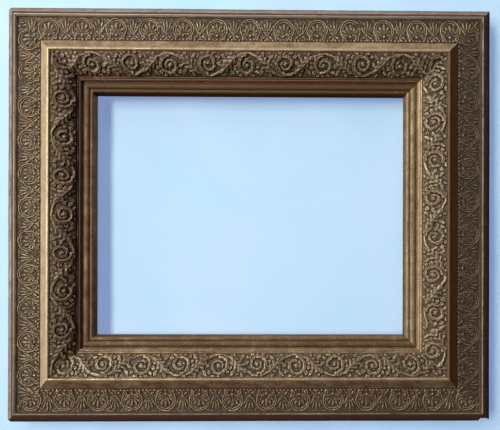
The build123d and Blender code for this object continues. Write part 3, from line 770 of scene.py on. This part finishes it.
def rinceau_relief(along, across, ornament, start, wide):
    """Height of the inner frieze's ornament, the highest of its forms: a running scroll, with every other
    pitch turned over. In one pitch a wavy stem follows a cosine, a scroll winds off it round a rosette,
    lobed leaves stand out from the scroll, and an acanthus leaf lies along the stem where it crosses to the
    next pitch."""
    pitch, radius, high = ornament.scroll_pitch, ornament.scroll_radius, ornament.scroll_relief
    number = np.round((along - start) / pitch)
    flip = np.where(number % 2 == 0, 1.0, -1.0)
    x = along - start - number * pitch
    y = (across - wide / 2) * flip
    sway = wide / 2 - 2.4
    slope = sway * np.pi / pitch * np.sin(np.pi * x / pitch)
    stem = (y + sway * np.cos(np.pi * x / pitch)) / np.hypot(1, slope)
    forms = [rounded_ridge(stem, 1.6, 0.6 * high)]
    ex, ey = x, y - 0.9
    for degrees, length in LOBES:
        turn = math.radians(degrees)
        lx, ly = ex - 0.9 * radius * math.cos(turn), ey - 0.9 * radius * math.sin(turn)
        lobe = turned(lx, ly, 90 - degrees - 34)
        forms.append(petal(*lobe, length, 4.6, 0.74 * high, belly=1.35, groove=0.45))
    for edge in (-1, 1):
        bx, by = x - edge * pitch / 2, y * edge
        forms.append(acanthus_leaf(*turned(bx, by, 48), 25.0, 11.5, 0.85 * high))
        for place, lean, length in SPRIGS:
            sprig = turned(bx - place[0], by - place[1], lean)
            forms.append(petal(*sprig, length, 4.0, 0.62 * high, belly=1.2, groove=0.4))
    forms.append(spiral_relief(ex, ey, radius, high))
    out, angle = np.hypot(ex, ey), np.arctan2(ey, ex)
    rosette = rounded_ridge(out, 3.5 * (0.8 + 0.2 * np.cos(6 * angle)), 0.7 * high)
    forms += [np.where(out < 3.6, rosette, 0), rounded_ridge(out, 1.1, 0.98 * high)]
    return np.maximum.reduce(forms)


def cast_surface(along, across, relief, high, seed):
    """Ornament as it came from the mould and has aged: a pitted ground, rounding on the high places, small
    losses and fine unevenness. The second array is 1 where a piece is lost."""
    pits = 0
    for layer, (wide, deep) in enumerate(PITS):
        pits = pits + lattice_noise(along / wide, across / wide, seed + layer) * deep
    soft = 0.84 + 0.16 * lattice_noise(along / 14, across / 9, seed + 2)
    lost = smooth_step(0.8, 0.95, layered_noise(along / 11, across / 7, seed + 4, 2))
    surface = relief * soft * (1 - 0.6 * lost) + pits * (1 - 0.4 * np.clip(relief / high, 0, 1))
    return surface, lost


def hand_drawn(along, across, amount, seed):
    """Both coordinates moved a little by slow noise, so that no two repeats of an ornament come out alike."""
    shift = amount * layered_noise(along / 8, across / 6, seed, 2)
    sway = amount * layered_noise(along / 8, across / 6, seed + 7, 2)
    return along + shift, across + sway


def proud_mask(surface, reach, full):
    """How far each point stands above the mean of its neighbourhood, from -1 to 1."""
    mean = running_mean(running_mean(surface, reach, 0), reach, 1)
    return np.clip((surface - mean) / full, -1, 1)


def frieze_stations(lines, side, start_d, step):
    """Stations from -1 to 1 along a frieze, at about the step along its outer edge."""
    return np.linspace(-1, 1, int(2 * (half_length(lines, side) - start_d) / step))[:, None]


def frieze_skin(name, side, lines, stations, top, back_h, masks):
    """Closes a frieze: the ornamented top from rim to band, then the strip's back from band to rim, as one
    loop. The masks are how proud the top is, where it is lost and how worn it is; the proud mask carries the
    grime shift and the worn mask its side's share, both partly painted shade."""
    top_d, top_h = top
    proud, lost, worn = masks
    thinned = slice(None, None, top_d.shape[1] // BACK_POINTS)
    back_d = top_d[:, ::-1][:, thinned]
    back = np.broadcast_to(back_h, top_d.shape)[:, ::-1][:, thinned]
    inward = np.hstack([top_d, back_d])
    along = stations * (half_length(lines, side) - inward)
    around = np.cumsum(np.hypot(np.diff(inward, axis=1, prepend=inward[:, :1]), 0.1), axis=1)
    spare = np.zeros(back_d.shape)
    masks = {
        "proud": np.hstack([proud, spare - 1]),
        "bare": np.zeros(inward.shape),
        "lost": np.hstack([lost, spare]),
        "worn": np.full(inward.shape, worn),
    }
    return skin(name, side, lines, along, inward, np.hstack([top_h, back]), masks, around)


def outer_frieze(name, side, lines, sizes, ornament):
    """The flat strip of the outer frieze: its top is the bed's height, the strip and the arches' relief."""
    step, rim_end = ornament.fine_step, lines["rim_end"]
    wide = lines["outer_end"] - rim_end
    stations = frieze_stations(lines, side, rim_end, step)
    across = np.linspace(0, wide, int(wide / step))[None, :]
    along = stations * (half_length(lines, side) - rim_end - across)
    start = ornament.arch_start[SIDES.index(side)]
    seed = side_seed(side) + OUTER_FRIEZE_SEED
    drawn = hand_drawn(along, across, amount=0.5, seed=seed + DRAWING_SEED)
    relief = anthemion_relief(*drawn, ornament, start, wide)
    surface, lost = cast_surface(along, across, relief, ornament.arch_relief, seed)
    # The side's grime shift darkens the hollows: a little dirt on every side, and painted shade on the right,
    # which lies in the crest's shadow
    proud = proud_mask(surface, reach=3, full=0.5) - RAIL_GRIME_AND_SHADE["outer_frieze"][side]
    top = (rim_end + across + 0 * along, lines["bed_h"] + sizes.strip + surface)
    masks = (proud, lost, RAIL_WEAR_AND_SHADE["outer_frieze"][side])
    return frieze_skin(name, side, lines, stations, top, lines["bed_h"], masks)


def inner_frieze(name, side, lines, sizes, ornament):
    """The swelling strip of the inner frieze: points on the ground's arc, moved out along its radius by the
    relief, which dies away at the strip's two borders."""
    step = ornament.fine_step
    ground, normal = swell_points(lines, sizes, 0.0, count=200)
    travel = path_lengths(ground)
    wide = travel[-1]
    columns = int(wide / step)
    across = np.linspace(0, wide, columns)
    base, way = follow(across, travel, ground), follow(across, travel, normal)
    stations = frieze_stations(lines, side, lines["inner_bed"], step)
    along = stations * (half_length(lines, side) - base[:, 0][None, :])
    start = ornament.scroll_start[SIDES.index(side)]
    field = np.broadcast_to(across[None, :], along.shape)
    border = smooth_step(0, 1.2, field) * smooth_step(0, 1.2, wide - field)
    seed = side_seed(side) + INNER_FRIEZE_SEED
    drawn = hand_drawn(along, field, amount=0.8, seed=seed + DRAWING_SEED)
    relief = rinceau_relief(*drawn, ornament, start, wide) * border
    surface, lost = cast_surface(along, field, relief, ornament.scroll_relief, seed)
    surface = surface * border
    proud = proud_mask(surface, reach=4, full=0.8)
    top = tuple(base[:, axis][None, :] + way[:, axis][None, :] * surface for axis in (0, 1))
    under, _ = swell_points(lines, sizes, -sizes.strip, columns)
    # The side's wear is larger on the sides that face away from the light, which is painted shade
    masks = (proud, lost, RAIL_WEAR_AND_SHADE["inner_frieze"][side])
    return frieze_skin(name, side, lines, stations, top, under[:, 1][None, :], masks)


def set_inputs(tree, node, inputs):
    """Sets a node's inputs to values, or links them to sockets."""
    for key, value in inputs.items():
        if isinstance(value, bpy.types.NodeSocket):
            tree.links.new(value, node.inputs[key])
        else:
            node.inputs[key].default_value = value


def add_node(tree, kind, inputs=None, **settings):
    """A shader node with its settings and inputs. Nodes stand in rows, in the order in which they are
    made."""
    row, column = divmod(len(tree.nodes), NODES_IN_ROW)
    node = tree.nodes.new(kind)
    node.location = (NODE_SPACING * column, -NODE_SPACING * row)
    for name, value in settings.items():
        setattr(node, name, value)
    set_inputs(tree, node, inputs or {})
    return node


def add_math(tree, operation, *values, clamp=False):
    """A Math node's output."""
    inputs = dict(enumerate(values))
    return add_node(tree, "ShaderNodeMath", inputs, operation=operation, use_clamp=clamp).outputs[0]


def add_share(tree, value, share, rest, clamp=False):
    """A share of a value on top of the rest: value x share + rest."""
    return add_math(tree, "MULTIPLY_ADD", value, share, rest, clamp=clamp)


def add_ramp(tree, value, low, high):
    """An S curve from 0 at low to 1 at high."""
    inputs = {"Value": value, "From Min": low, "From Max": high}
    return add_node(tree, "ShaderNodeMapRange", inputs, interpolation_type="SMOOTHSTEP").outputs["Result"]


def add_mix(tree, factor, first, second):
    """A mix of two colours."""
    return add_node(tree, "ShaderNodeMix", {0: factor, 6: first, 7: second}, data_type="RGBA").outputs[2]


def add_noise(tree, vector, scale, detail, roughness=0.55):
    """A noise texture's grey output."""
    inputs = {"Vector": vector, "Scale": scale, "Detail": detail, "Roughness": roughness}
    return add_node(tree, "ShaderNodeTexNoise", inputs).outputs["Fac"]


def object_coords(tree):
    """Object coordinates."""
    return add_node(tree, "ShaderNodeTexCoord").outputs["Object"]


def new_group(name, vectors, values, colours, outputs):
    """An empty shader node group with named sockets. It gives back a colour and the values named as
    outputs."""
    group = bpy.data.node_groups.new(name, "ShaderNodeTree")
    kinds = {"NodeSocketVector": vectors, "NodeSocketFloat": values, "NodeSocketColor": colours}
    for kind, sockets in kinds.items():
        for socket in sockets:
            group.interface.new_socket(name=socket, in_out="INPUT", socket_type=kind)
    group.interface.new_socket(name="Color", in_out="OUTPUT", socket_type="NodeSocketColor")
    for socket in outputs:
        group.interface.new_socket(name=socket, in_out="OUTPUT", socket_type="NodeSocketFloat")
    return group, add_node(group, "NodeGroupInput").outputs, add_node(group, "NodeGroupOutput")


def wash(colour):
    """A colour with full alpha."""
    return (*colour, 1.0)


def aged_gilding_group():
    """Old gilding: gold with red-brown ground showing through in flecks and streaks, dirt in the hollows, and
    rubbed gold on the high places that is partly a painted highlight. The wear input also carries painted
    shade, which brings the ground through on the sides that face away from the light, and the proud input is
    lowered by painted shade on some of them. Proud runs from -1 in a hollow to 1 on a ridge."""
    group, given, result = new_group(
        "aged_gilding",
        vectors=("Vector", "Along"),
        values=("Proud", "Lost", "Wear_and_shade", "Dirt"),
        colours=("Gold", "Rubbed_and_highlight", "Bole", "Grime_and_shade"),
        outputs=("Roughness", "Metallic", "Height"),
    )
    fine = add_noise(group, given["Vector"], scale=620, detail=4)
    patch = add_noise(group, given["Vector"], scale=90, detail=3)
    broad = add_noise(group, given["Vector"], scale=9, detail=2)
    streak = add_noise(group, given["Along"], scale=1, detail=4)
    fleck = add_share(group, fine, 0.8, add_math(group, "MULTIPLY", patch, 0.8))
    fleck = add_share(group, streak, 0.6, fleck)
    fleck = add_share(group, broad, 0.25, fleck)
    # The wear input carries painted shade on the sides that face away from the light
    fleck = add_math(group, "ADD", fleck, given["Wear_and_shade"])
    thin_and_shade = add_ramp(group, fleck, low=1.1, high=1.95)
    thin_and_shade = add_math(group, "MAXIMUM", thin_and_shade, given["Lost"])
    raised = add_share(group, patch, 0.7, given["Proud"])
    # Rubbed gold on the high places, partly a painted highlight
    rub_and_highlight = add_ramp(group, raised, low=0.55, high=1.45)
    rub_and_highlight = add_math(group, "MULTIPLY", rub_and_highlight, add_share(group, thin_and_shade, -0.8, 1.0))
    # A lowered proud input deepens the grime, which on shaded sides is painted shade
    sunk_and_shade = add_math(group, "SUBTRACT", given["Dirt"], given["Proud"])
    sunk_and_shade = add_share(group, patch, 0.5, sunk_and_shade)
    dirt_and_shade = add_ramp(group, sunk_and_shade, low=0.2, high=1.3)
    shade = add_mix(group, thin_and_shade, given["Gold"], given["Bole"])
    shade = add_mix(group, dirt_and_shade, shade, given["Grime_and_shade"])
    shade = add_mix(group, rub_and_highlight, shade, given["Rubbed_and_highlight"])
    dull = add_math(group, "MAXIMUM", thin_and_shade, dirt_and_shade)
    shine = add_share(group, dull, -0.4, 0.5, clamp=True)
    matt = add_share(group, dull, 0.22, 0.36)
    matt = add_share(group, fine, 0.16, matt, clamp=True)
    lift = add_share(group, streak, 0.5, fine)
    lift = add_share(group, thin_and_shade, -0.35, lift)
    set_inputs(group, result, {"Color": shade, "Roughness": matt, "Metallic": shine, "Height": lift})
    return group


def board_grain_group():
    """Sawn softwood: rings stretched along X by noise, darker late wood, pores and stains of age."""
    group, given, result = new_group(
        "board_grain",
        vectors=("Vector",),
        values=(),
        colours=("Pale", "Dark"),
        outputs=("Roughness", "Height"),
    )
    stretch = add_node(group, "ShaderNodeMapping", {"Vector": given["Vector"], "Scale": (0.06, 1.0, 1.0)})
    rings = add_noise(group, stretch.outputs[0], scale=130, detail=5, roughness=0.6)
    pores = add_noise(group, stretch.outputs[0], scale=900, detail=2)
    stain = add_noise(group, given["Vector"], scale=12, detail=4)
    wave = add_math(group, "SINE", add_math(group, "MULTIPLY", rings, 42.0))
    late = add_ramp(group, wave, low=-0.2, high=1.0)
    late = add_share(group, pores, 0.35, late, clamp=True)
    age = add_math(group, "MULTIPLY", add_ramp(group, stain, low=0.35, high=0.75), 0.55)
    tone = add_mix(group, late, given["Pale"], given["Dark"])
    tone = add_mix(group, age, tone, given["Dark"])
    rough = add_share(group, pores, 0.2, 0.66)
    lift = add_share(group, late, -0.4, pores)
    set_inputs(group, result, {"Color": tone, "Roughness": rough, "Height": lift})
    return group


def tarnish_group():
    """Old small metalware: stains in patches over bright metal, with fine specks."""
    group, given, result = new_group(
        "tarnish",
        vectors=("Vector",),
        values=("Amount",),
        colours=("Bright", "Stain"),
        outputs=("Roughness", "Metallic", "Height"),
    )
    cloud = add_noise(group, given["Vector"], scale=240, detail=5, roughness=0.62)
    speck = add_noise(group, given["Vector"], scale=1900, detail=3)
    cover = add_math(group, "ADD", cloud, given["Amount"])
    cover = add_share(group, speck, 0.25, cover)
    cover = add_ramp(group, cover, low=0.75, high=1.2)
    tone = add_mix(group, cover, given["Bright"], given["Stain"])
    rough = add_share(group, cover, 0.3, 0.3)
    metal = add_share(group, cover, -0.6, 1.0)
    lift = add_share(group, cover, 0.6, speck)
    set_inputs(group, result, {"Color": tone, "Roughness": rough, "Metallic": metal, "Height": lift})
    return group


def new_material(name):
    """A material with nothing but its surface shader and output."""
    material = bpy.data.materials.new(name)
    material.use_nodes = True
    tree = material.node_tree
    tree.nodes.clear()
    shader = add_node(tree, "ShaderNodeBsdfPrincipled")
    add_node(tree, "ShaderNodeOutputMaterial", {"Surface": shader.outputs[0]})
    return material, tree, shader


def place_group(tree, group, inputs):
    """A node group in a material, with its own values."""
    return add_node(tree, "ShaderNodeGroup", inputs, node_tree=group).outputs


def add_bump(tree, shader, height, distance, strength):
    """Feeds a height into the shader's normal."""
    inputs = {"Height": height, "Distance": distance, "Strength": strength}
    bump = add_node(tree, "ShaderNodeBump", inputs)
    tree.links.new(bump.outputs["Normal"], shader.inputs["Normal"])


def mask_value(tree, name):
    """A mesh attribute's value."""
    return add_node(tree, "ShaderNodeAttribute", attribute_name=name).outputs["Fac"]


def grain_vector(tree, axis):
    """Object coordinates with the grain's axis brought to X."""
    turn = (0.0, math.pi / 2 if axis == "z" else 0.0, 0.0)
    return add_node(tree, "ShaderNodeMapping", {"Vector": object_coords(tree), "Rotation": turn}).outputs[0]


def gilded_material(name, groups, colours, axis, golds, dirt, bump):
    """Gilding on the front, in a plain gold, a rubbed one that is partly a painted highlight, and the ground
    under them, and bare pine where the section faces the wall."""
    material, tree, shader = new_material(name)
    # The rubbed gold is partly a painted highlight on the high places
    gold, rubbed, bole = golds
    chart = add_node(tree, "ShaderNodeUVMap", uv_map="along_rail")
    along = add_node(tree, "ShaderNodeMapping", {"Vector": chart.outputs[0], "Scale": (28.0, 900.0, 1.0)})
    gilding = place_group(
        tree,
        groups["gilding"],
        {
            "Vector": object_coords(tree),
            "Along": along.outputs[0],
            "Proud": mask_value(tree, "proud"),
            "Lost": mask_value(tree, "lost"),
            "Wear_and_shade": mask_value(tree, "worn"),
            "Dirt": dirt,
            "Gold": wash(gold),
            "Rubbed_and_highlight": wash(rubbed),
            "Bole": wash(bole),
            "Grime_and_shade": wash(colours.grime_and_shade),
        },
    )
    pine = {"Pale": wash(colours.pine), "Dark": wash(colours.pine_dark)}
    board = place_group(tree, groups["board"], {"Vector": grain_vector(tree, axis), **pine})
    bare = mask_value(tree, "bare")
    kept = add_math(tree, "SUBTRACT", 1.0, bare)
    looks = {
        "Base Color": add_mix(tree, bare, gilding["Color"], board["Color"]),
        "Metallic": add_math(tree, "MULTIPLY", gilding["Metallic"], kept),
        "Roughness": add_share(tree, bare, 0.3, gilding["Roughness"], clamp=True),
    }
    set_inputs(tree, shader, looks)
    lift = add_share(tree, board["Height"], bare, gilding["Height"])
    add_bump(tree, shader, lift, distance=bump, strength=0.55)
    return material


def board_material(name, groups, pale, dark, axis):
    """A bare board with its grain along one axis."""
    material, tree, shader = new_material(name)
    wood = {"Vector": grain_vector(tree, axis), "Pale": wash(pale), "Dark": wash(dark)}
    board = place_group(tree, groups["board"], wood)
    set_inputs(tree, shader, {"Base Color": board["Color"], "Roughness": board["Roughness"]})
    add_bump(tree, shader, board["Height"], distance=0.0004, strength=0.5)
    return material


def metal_material(name, groups, bright, stain, amount):
    """Small metalware, bright in some places and stained in others."""
    material, tree, shader = new_material(name)
    metal = {"Vector": object_coords(tree), "Bright": wash(bright), "Stain": wash(stain), "Amount": amount}
    ware = place_group(tree, groups["tarnish"], metal)
    looks = {"Base Color": ware["Color"], "Roughness": ware["Roughness"], "Metallic": ware["Metallic"]}
    set_inputs(tree, shader, looks)
    add_bump(tree, shader, ware["Height"], distance=0.00012, strength=0.4)
    return material


def build_materials(colours):
    """All the finishes, by name. The gilded ones have their three golds, how dirty they are and how rough."""
    groups = {"gilding": aged_gilding_group(), "board": board_grain_group(), "tarnish": tarnish_group()}
    gilt = {
        # Each finish's golds: plain, rubbed (partly a painted highlight) and ground; the rim's grey gold is
        # partly a painted reflection of the pale sheet
        "middle_rail": ("gilded_wood", (colours.gold, colours.rubbed_gold_and_highlight, colours.bole), 0.0, 0.0003),
        "outer_rail": ("gilded_rim", (colours.rim_gold_and_reflection, colours.rim_rubbed_and_highlight, colours.dark_bole), 0.0, 0.0003),
        "sight_rail": ("gilded_sight", (colours.sight_gold, colours.gold, colours.sight_bole), 0.0, 0.0003),
        "compo": ("gilded_compo", (colours.cast_gold, colours.cast_rubbed_and_highlight, colours.bole), 0.6, 0.0002),
    }
    pine = (colours.pine, colours.pine_dark)
    made = {}
    for way, axis in GRAIN.items():
        for kind, (name, golds, dirt, bump) in gilt.items():
            made[f"{kind}_{way}"] = gilded_material(f"{name}_{way}", groups, colours, axis, golds, dirt, bump)
        made[f"pine_{way}"] = board_material(f"bare_pine_{way}", groups, *pine, axis)
    made["hardwood"] = board_material("hardwood_keys", groups, colours.hardwood, colours.pine_dark, "x")
    made["brass"] = metal_material("dulled_brass", groups, colours.brass, colours.tarnish, 0.36)
    made["steel"] = metal_material("rusted_steel", groups, colours.steel, colours.rust, 0.42)
    return made


def finish_name(kind, side):
    """A finish with its grain along the rail."""
    return kind + ("_level" if side in ("top", "bottom") else "_upright")


def material_named(key):
    """A finish that the finishes operator has made."""
    return bpy.data.materials[bpy.context.scene["frame_finishes"][key]]


def dress(piece, node, finish):
    """Gives a new piece its finish and its place in the frame."""
    piece.data.materials.append(material_named(finish))
    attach(piece, "frame")
    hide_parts(node)


def repaint(node, finish):
    """Gives a solid that stays as it is a procedural finish."""
    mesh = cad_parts[node].data
    mesh.materials.clear()
    mesh.materials.append(material_named(finish))


def frame_settings(scene):
    """The section's lines, and the sizes of the mouldings and the ornament, all in millimetres."""
    return section_lines(), in_millimetres(scene.moulding_sizes), in_millimetres(scene.ornament_sizes)


class FRAME_OT_finishes(bpy.types.Operator):
    """Build the gilding, wood and metal finishes"""

    bl_idname = "frame.finishes"
    bl_label = "Finishes"

    def execute(self, context):
        made = build_materials(context.scene.finish_colours)
        context.scene["frame_finishes"] = {key: material.name for key, material in made.items()}
        return {"FINISHED"}


class FRAME_OT_rails(bpy.types.Operator):
    """Build the outer, middle and sight rails as mitred mouldings"""

    bl_idname = "frame.rails"
    bl_label = "Rails"

    def execute(self, context):
        lines, sizes, ornament = frame_settings(context.scene)
        sections = {
            "outer_rail": outer_section(lines, sizes),
            "middle_rail": middle_section(lines, sizes),
            "sight_rail": sight_section(lines, sizes),
        }
        for kind, outline in sections.items():
            outside = outline[:, 0] < lines["inner_bed"]
            at_foot = (outline[:, 0] > lines["foot"]) & (kind == "middle_rail")
            inside = "sight_rail" if kind == "sight_rail" else "foot_beads"
            for side in SIDES:
                # Wear by side is partly painted shade on the sides that face away from the light, and the
                # foot beads' grime shift paints shade on the left
                worn = np.where(outside, RAIL_WEAR_AND_SHADE[kind][side], RAIL_WEAR_AND_SHADE[inside][side])
                worn = worn + section_wear_and_shade(kind, outline)
                grime_and_shade = RAIL_GRIME_AND_SHADE["foot_beads"][side] * at_foot
                piece = moulding(f"{kind}_{side}_gilt", side, lines, outline, sizes, ornament, worn, grime_and_shade)
                dress(piece, f"{kind}_{side}", finish_name(kind, side))
        return {"FINISHED"}


class FRAME_OT_outer_friezes(bpy.types.Operator):
    """Build the outer friezes with their arches, palmettes and fans"""

    bl_idname = "frame.outer_friezes"
    bl_label = "Outer friezes"

    def execute(self, context):
        for side in SIDES:
            piece = outer_frieze(f"outer_frieze_{side}_cast", side, *frame_settings(context.scene))
            dress(piece, f"outer_frieze_{side}", finish_name("compo", side))
        return {"FINISHED"}


class FRAME_OT_inner_friezes(bpy.types.Operator):
    """Build the inner friezes with their running scrolls"""

    bl_idname = "frame.inner_friezes"
    bl_label = "Inner friezes"

    def execute(self, context):
        for side in SIDES:
            piece = inner_frieze(f"inner_frieze_{side}_cast", side, *frame_settings(context.scene))
            dress(piece, f"inner_frieze_{side}", finish_name("compo", side))
        return {"FINISHED"}


class FRAME_OT_back(bpy.types.Operator):
    """Build the mitre keys, and give the back boards, gussets and fasteners their finishes"""

    bl_idname = "frame.back"
    bl_label = "Back"

    def execute(self, context):
        keys = worn_keys("mitre_keys_worn", *frame_settings(context.scene))
        dress(keys, "mitre_keys", "hardwood")
        for side in SIDES:
            repaint(f"back_rail_{side}", finish_name("pine", side))
            repaint(f"turn_button_{side}", "brass")
        for corner in CORNERS:
            repaint(f"corner_gusset_{corner}", "pine_level")
        for side in ("left", "right"):
            repaint(f"hanger_strap_{side}", "brass")
            repaint(f"hanger_ring_{side}", "steel")
        for fasteners in STEEL_FASTENERS:
            repaint(fasteners, "steel")
        return {"FINISHED"}


def camera_only(tree, shader):
    """Lets only the camera see a surface, and only from its front, so that it neither hides the frame's
    back nor throws light on it."""
    clear = add_node(tree, "ShaderNodeBsdfTransparent")
    geometry = add_node(tree, "ShaderNodeNewGeometry")
    path = add_node(tree, "ShaderNodeLightPath")
    unseen = add_math(tree, "SUBTRACT", 1.0, path.outputs["Is Camera Ray"])
    hidden = add_math(tree, "MAXIMUM", geometry.outputs["Backfacing"], unseen)
    both = add_node(tree, "ShaderNodeMixShader", {0: hidden, 1: shader.outputs[0], 2: clear.outputs[0]})
    output = next(node for node in tree.nodes if node.type == "OUTPUT_MATERIAL")
    tree.links.new(both.outputs[0], output.inputs["Surface"])


def stage_material(name, tones, scale, ramp, glow, rough):
    """A matt stage surface: two tones in soft clouds, and a glow of its own in the shade."""
    material, tree, shader = new_material(name)
    cloud = add_noise(tree, object_coords(tree), scale, 4)
    if ramp:
        cloud = add_ramp(tree, cloud, *ramp)
    looks = {
        "Base Color": add_mix(tree, cloud, *(wash(tone) for tone in tones)),
        "Roughness": rough,
        "Emission Color": wash(glow),
        "Emission Strength": 1.0,
    }
    set_inputs(tree, shader, looks)
    camera_only(tree, shader)
    return material, tree, shader


def plain_grid(name, x, y, z):
    """A grid mesh from three arrays of the same shape, rows by columns."""
    rows, columns = x.shape
    index = np.arange(rows * columns).reshape(rows, columns)
    quads = np.stack([index[:-1, :-1], index[:-1, 1:], index[1:, 1:], index[1:, :-1]], axis=-1).reshape(-1, 4)
    mesh = bpy.data.meshes.new(name)
    mesh.from_pydata(np.stack([x, y, z], axis=-1).reshape(-1, 3), [], quads)
    mesh.polygons.foreach_set("use_smooth", np.ones(len(quads), bool))
    return new_piece(name, mesh)


def hang_sheet(colours):
    """The sheet behind the frame: an upright grid whose depth is layered noise, drawn aside by a sine, in
    folds that deepen towards its upper and lower ends. It has a fine weave."""
    half_wide, half_high, gap, fold = 0.6, 0.5, 0.0015, 0.004
    columns, rows = 241, 201
    x, z = np.meshgrid(
        np.linspace(-half_wide, half_wide, columns), np.linspace(-half_high, half_high, rows)
    )
    folds = layered_noise(x * 9 + 2 * np.sin(z * 5), z * 5, SHEET_SEED) * fold
    gather = np.clip(np.abs(z) / 0.2, 0, 1) ** 2
    sheet = plain_grid("pale_sheet", x, gap - folds * (0.4 + 0.6 * gather), z)
    tones = (colours.sheet, np.array(colours.sheet) * (1.16, 1.0, 1.06))
    material, tree, shader = stage_material(
        "pale_sheet", tones, scale=11, ramp=(0.3, 0.75), glow=colours.sheet_glow, rough=0.95
    )
    weave = add_noise(tree, object_coords(tree), scale=900, detail=2)
    add_bump(tree, shader, weave, distance=0.0004, strength=0.2)
    sheet.data.materials.append(material)


def lay_floor(colours):
    """The floor: a level grid a little below the frame."""
    reach, level, points = 3, -0.26, 13
    line = np.linspace(-reach, reach, points)
    x, y = np.meshgrid(line, line)
    floor = plain_grid("pale_floor", x, y, np.full(x.shape, level))
    tones = (colours.floor, colours.floor_pale)
    material, _, _ = stage_material(
        "pale_floor", tones, scale=3, ramp=None, glow=colours.floor_glow, rough=0.7
    )
    floor.data.materials.append(material)


def soft_light(name, place, size, power, colour):
    """A rectangular area light at a place, turned to the frame's middle."""
    data = bpy.data.lights.new(name, "AREA")
    data.shape = "RECTANGLE"
    data.size, data.size_y = size
    data.energy = power
    data.color = colour
    light = bpy.data.objects.new(name, data)
    light.location = place
    x, y, z = (-value for value in place)
    light.rotation_euler = (math.atan2(math.hypot(x, y), -z), 0.0, math.atan2(y, x) - math.pi / 2)
    bpy.context.scene.collection.objects.link(light)


def studio_world(colours):
    """Soft room light: bright towards -X, as by a window, paler overhead and dim and warm elsewhere. The
    camera sees a plain pale backdrop."""
    world = bpy.data.worlds.new("studio")
    world.use_nodes = True
    tree = world.node_tree
    tree.nodes.clear()
    coords = add_node(tree, "ShaderNodeTexCoord")
    way = add_node(tree, "ShaderNodeSeparateXYZ", {0: coords.outputs["Generated"]})
    window = add_math(tree, "MULTIPLY", add_ramp(tree, way.outputs["X"], low=-0.45, high=-0.95), 0.3)
    ceiling = add_math(tree, "MULTIPLY", add_ramp(tree, way.outputs["Z"], low=0.1, high=0.95), 0.05)
    lit = add_math(tree, "MAXIMUM", window, ceiling)
    room = add_mix(tree, lit, wash(colours.room), wash(colours.window))
    glow = add_node(tree, "ShaderNodeBackground", {"Color": room, "Strength": 1.0})
    pale = add_node(tree, "ShaderNodeBackground", {"Color": wash(colours.backdrop), "Strength": 0.9})
    path = add_node(tree, "ShaderNodeLightPath")
    views = {0: path.outputs["Is Camera Ray"], 1: glow.outputs[0], 2: pale.outputs[0]}
    mixed = add_node(tree, "ShaderNodeMixShader", views)
    add_node(tree, "ShaderNodeOutputWorld", {"Surface": mixed.outputs[0]})
    return world


def set_camera(scene):
    """The camera at the photograph's viewing angle."""
    lens = bpy.data.cameras.new("camera")
    lens.sensor_fit = "HORIZONTAL"
    lens.sensor_width = CAMERA_SENSOR
    lens.lens = CAMERA_LENS
    lens.shift_x, lens.shift_y = CAMERA_SHIFT
    lens.clip_start = CAMERA_NEAR
    camera = bpy.data.objects.new("camera", lens)
    camera.location = CAMERA_PLACE
    camera.rotation_euler = tuple(math.radians(turn) for turn in CAMERA_TURN)
    scene.collection.objects.link(camera)
    scene.camera = camera


class FRAME_OT_stage(bpy.types.Operator):
    """Add the pale sheet, the floor, soft light and the camera"""

    bl_idname = "frame.stage"
    bl_label = "Stage"

    def execute(self, context):
        scene = context.scene
        hang_sheet(scene.finish_colours)
        lay_floor(scene.finish_colours)
        scene.world = studio_world(scene.finish_colours)
        for name, settings in LIGHTS.items():
            soft_light(name, *settings)
        set_camera(scene)
        scene.view_settings.view_transform = "Standard"
        return {"FINISHED"}


OPERATORS = (
    FRAME_OT_finishes,
    FRAME_OT_rails,
    FRAME_OT_outer_friezes,
    FRAME_OT_inner_friezes,
    FRAME_OT_back,
    FRAME_OT_stage,
)
SETTINGS = {"moulding_sizes": MouldingSizes, "ornament_sizes": OrnamentSizes, "finish_colours": FinishColours}


class FRAME_PT_sidebar(bpy.types.Panel):
    """The frame's steps and sizes in the sidebar"""

    bl_idname = "FRAME_PT_sidebar"
    bl_label = "Gilded Picture Frame"
    bl_space_type = "VIEW_3D"
    bl_region_type = "UI"
    bl_category = "Frame"

    def draw(self, context):
        for step in OPERATORS:
            self.layout.operator(step.bl_idname)
        for setting, kind in SETTINGS.items():
            box = self.layout.box()
            for name in kind.__annotations__:
                box.prop(getattr(context.scene, setting), name)


CLASSES = (*SETTINGS.values(), *OPERATORS, FRAME_PT_sidebar)


def register():
    """Registers the classes and hangs the settings on the scene."""
    for item in CLASSES:
        bpy.utils.register_class(item)
    for setting, kind in SETTINGS.items():
        setattr(bpy.types.Scene, setting, bpy.props.PointerProperty(type=kind))


def unregister():
    """Takes the settings off the scene and the classes out again."""
    for setting in SETTINGS:
        delattr(bpy.types.Scene, setting)
    for item in reversed(CLASSES):
        bpy.utils.unregister_class(item)


def main():
    """Registers the add-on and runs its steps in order."""
    register()
    bpy.ops.frame.finishes()
    bpy.ops.frame.rails()
    bpy.ops.frame.outer_friezes()
    bpy.ops.frame.inner_friezes()
    bpy.ops.frame.back()
    bpy.ops.frame.stage()


if __name__ == "__main__":
    main()
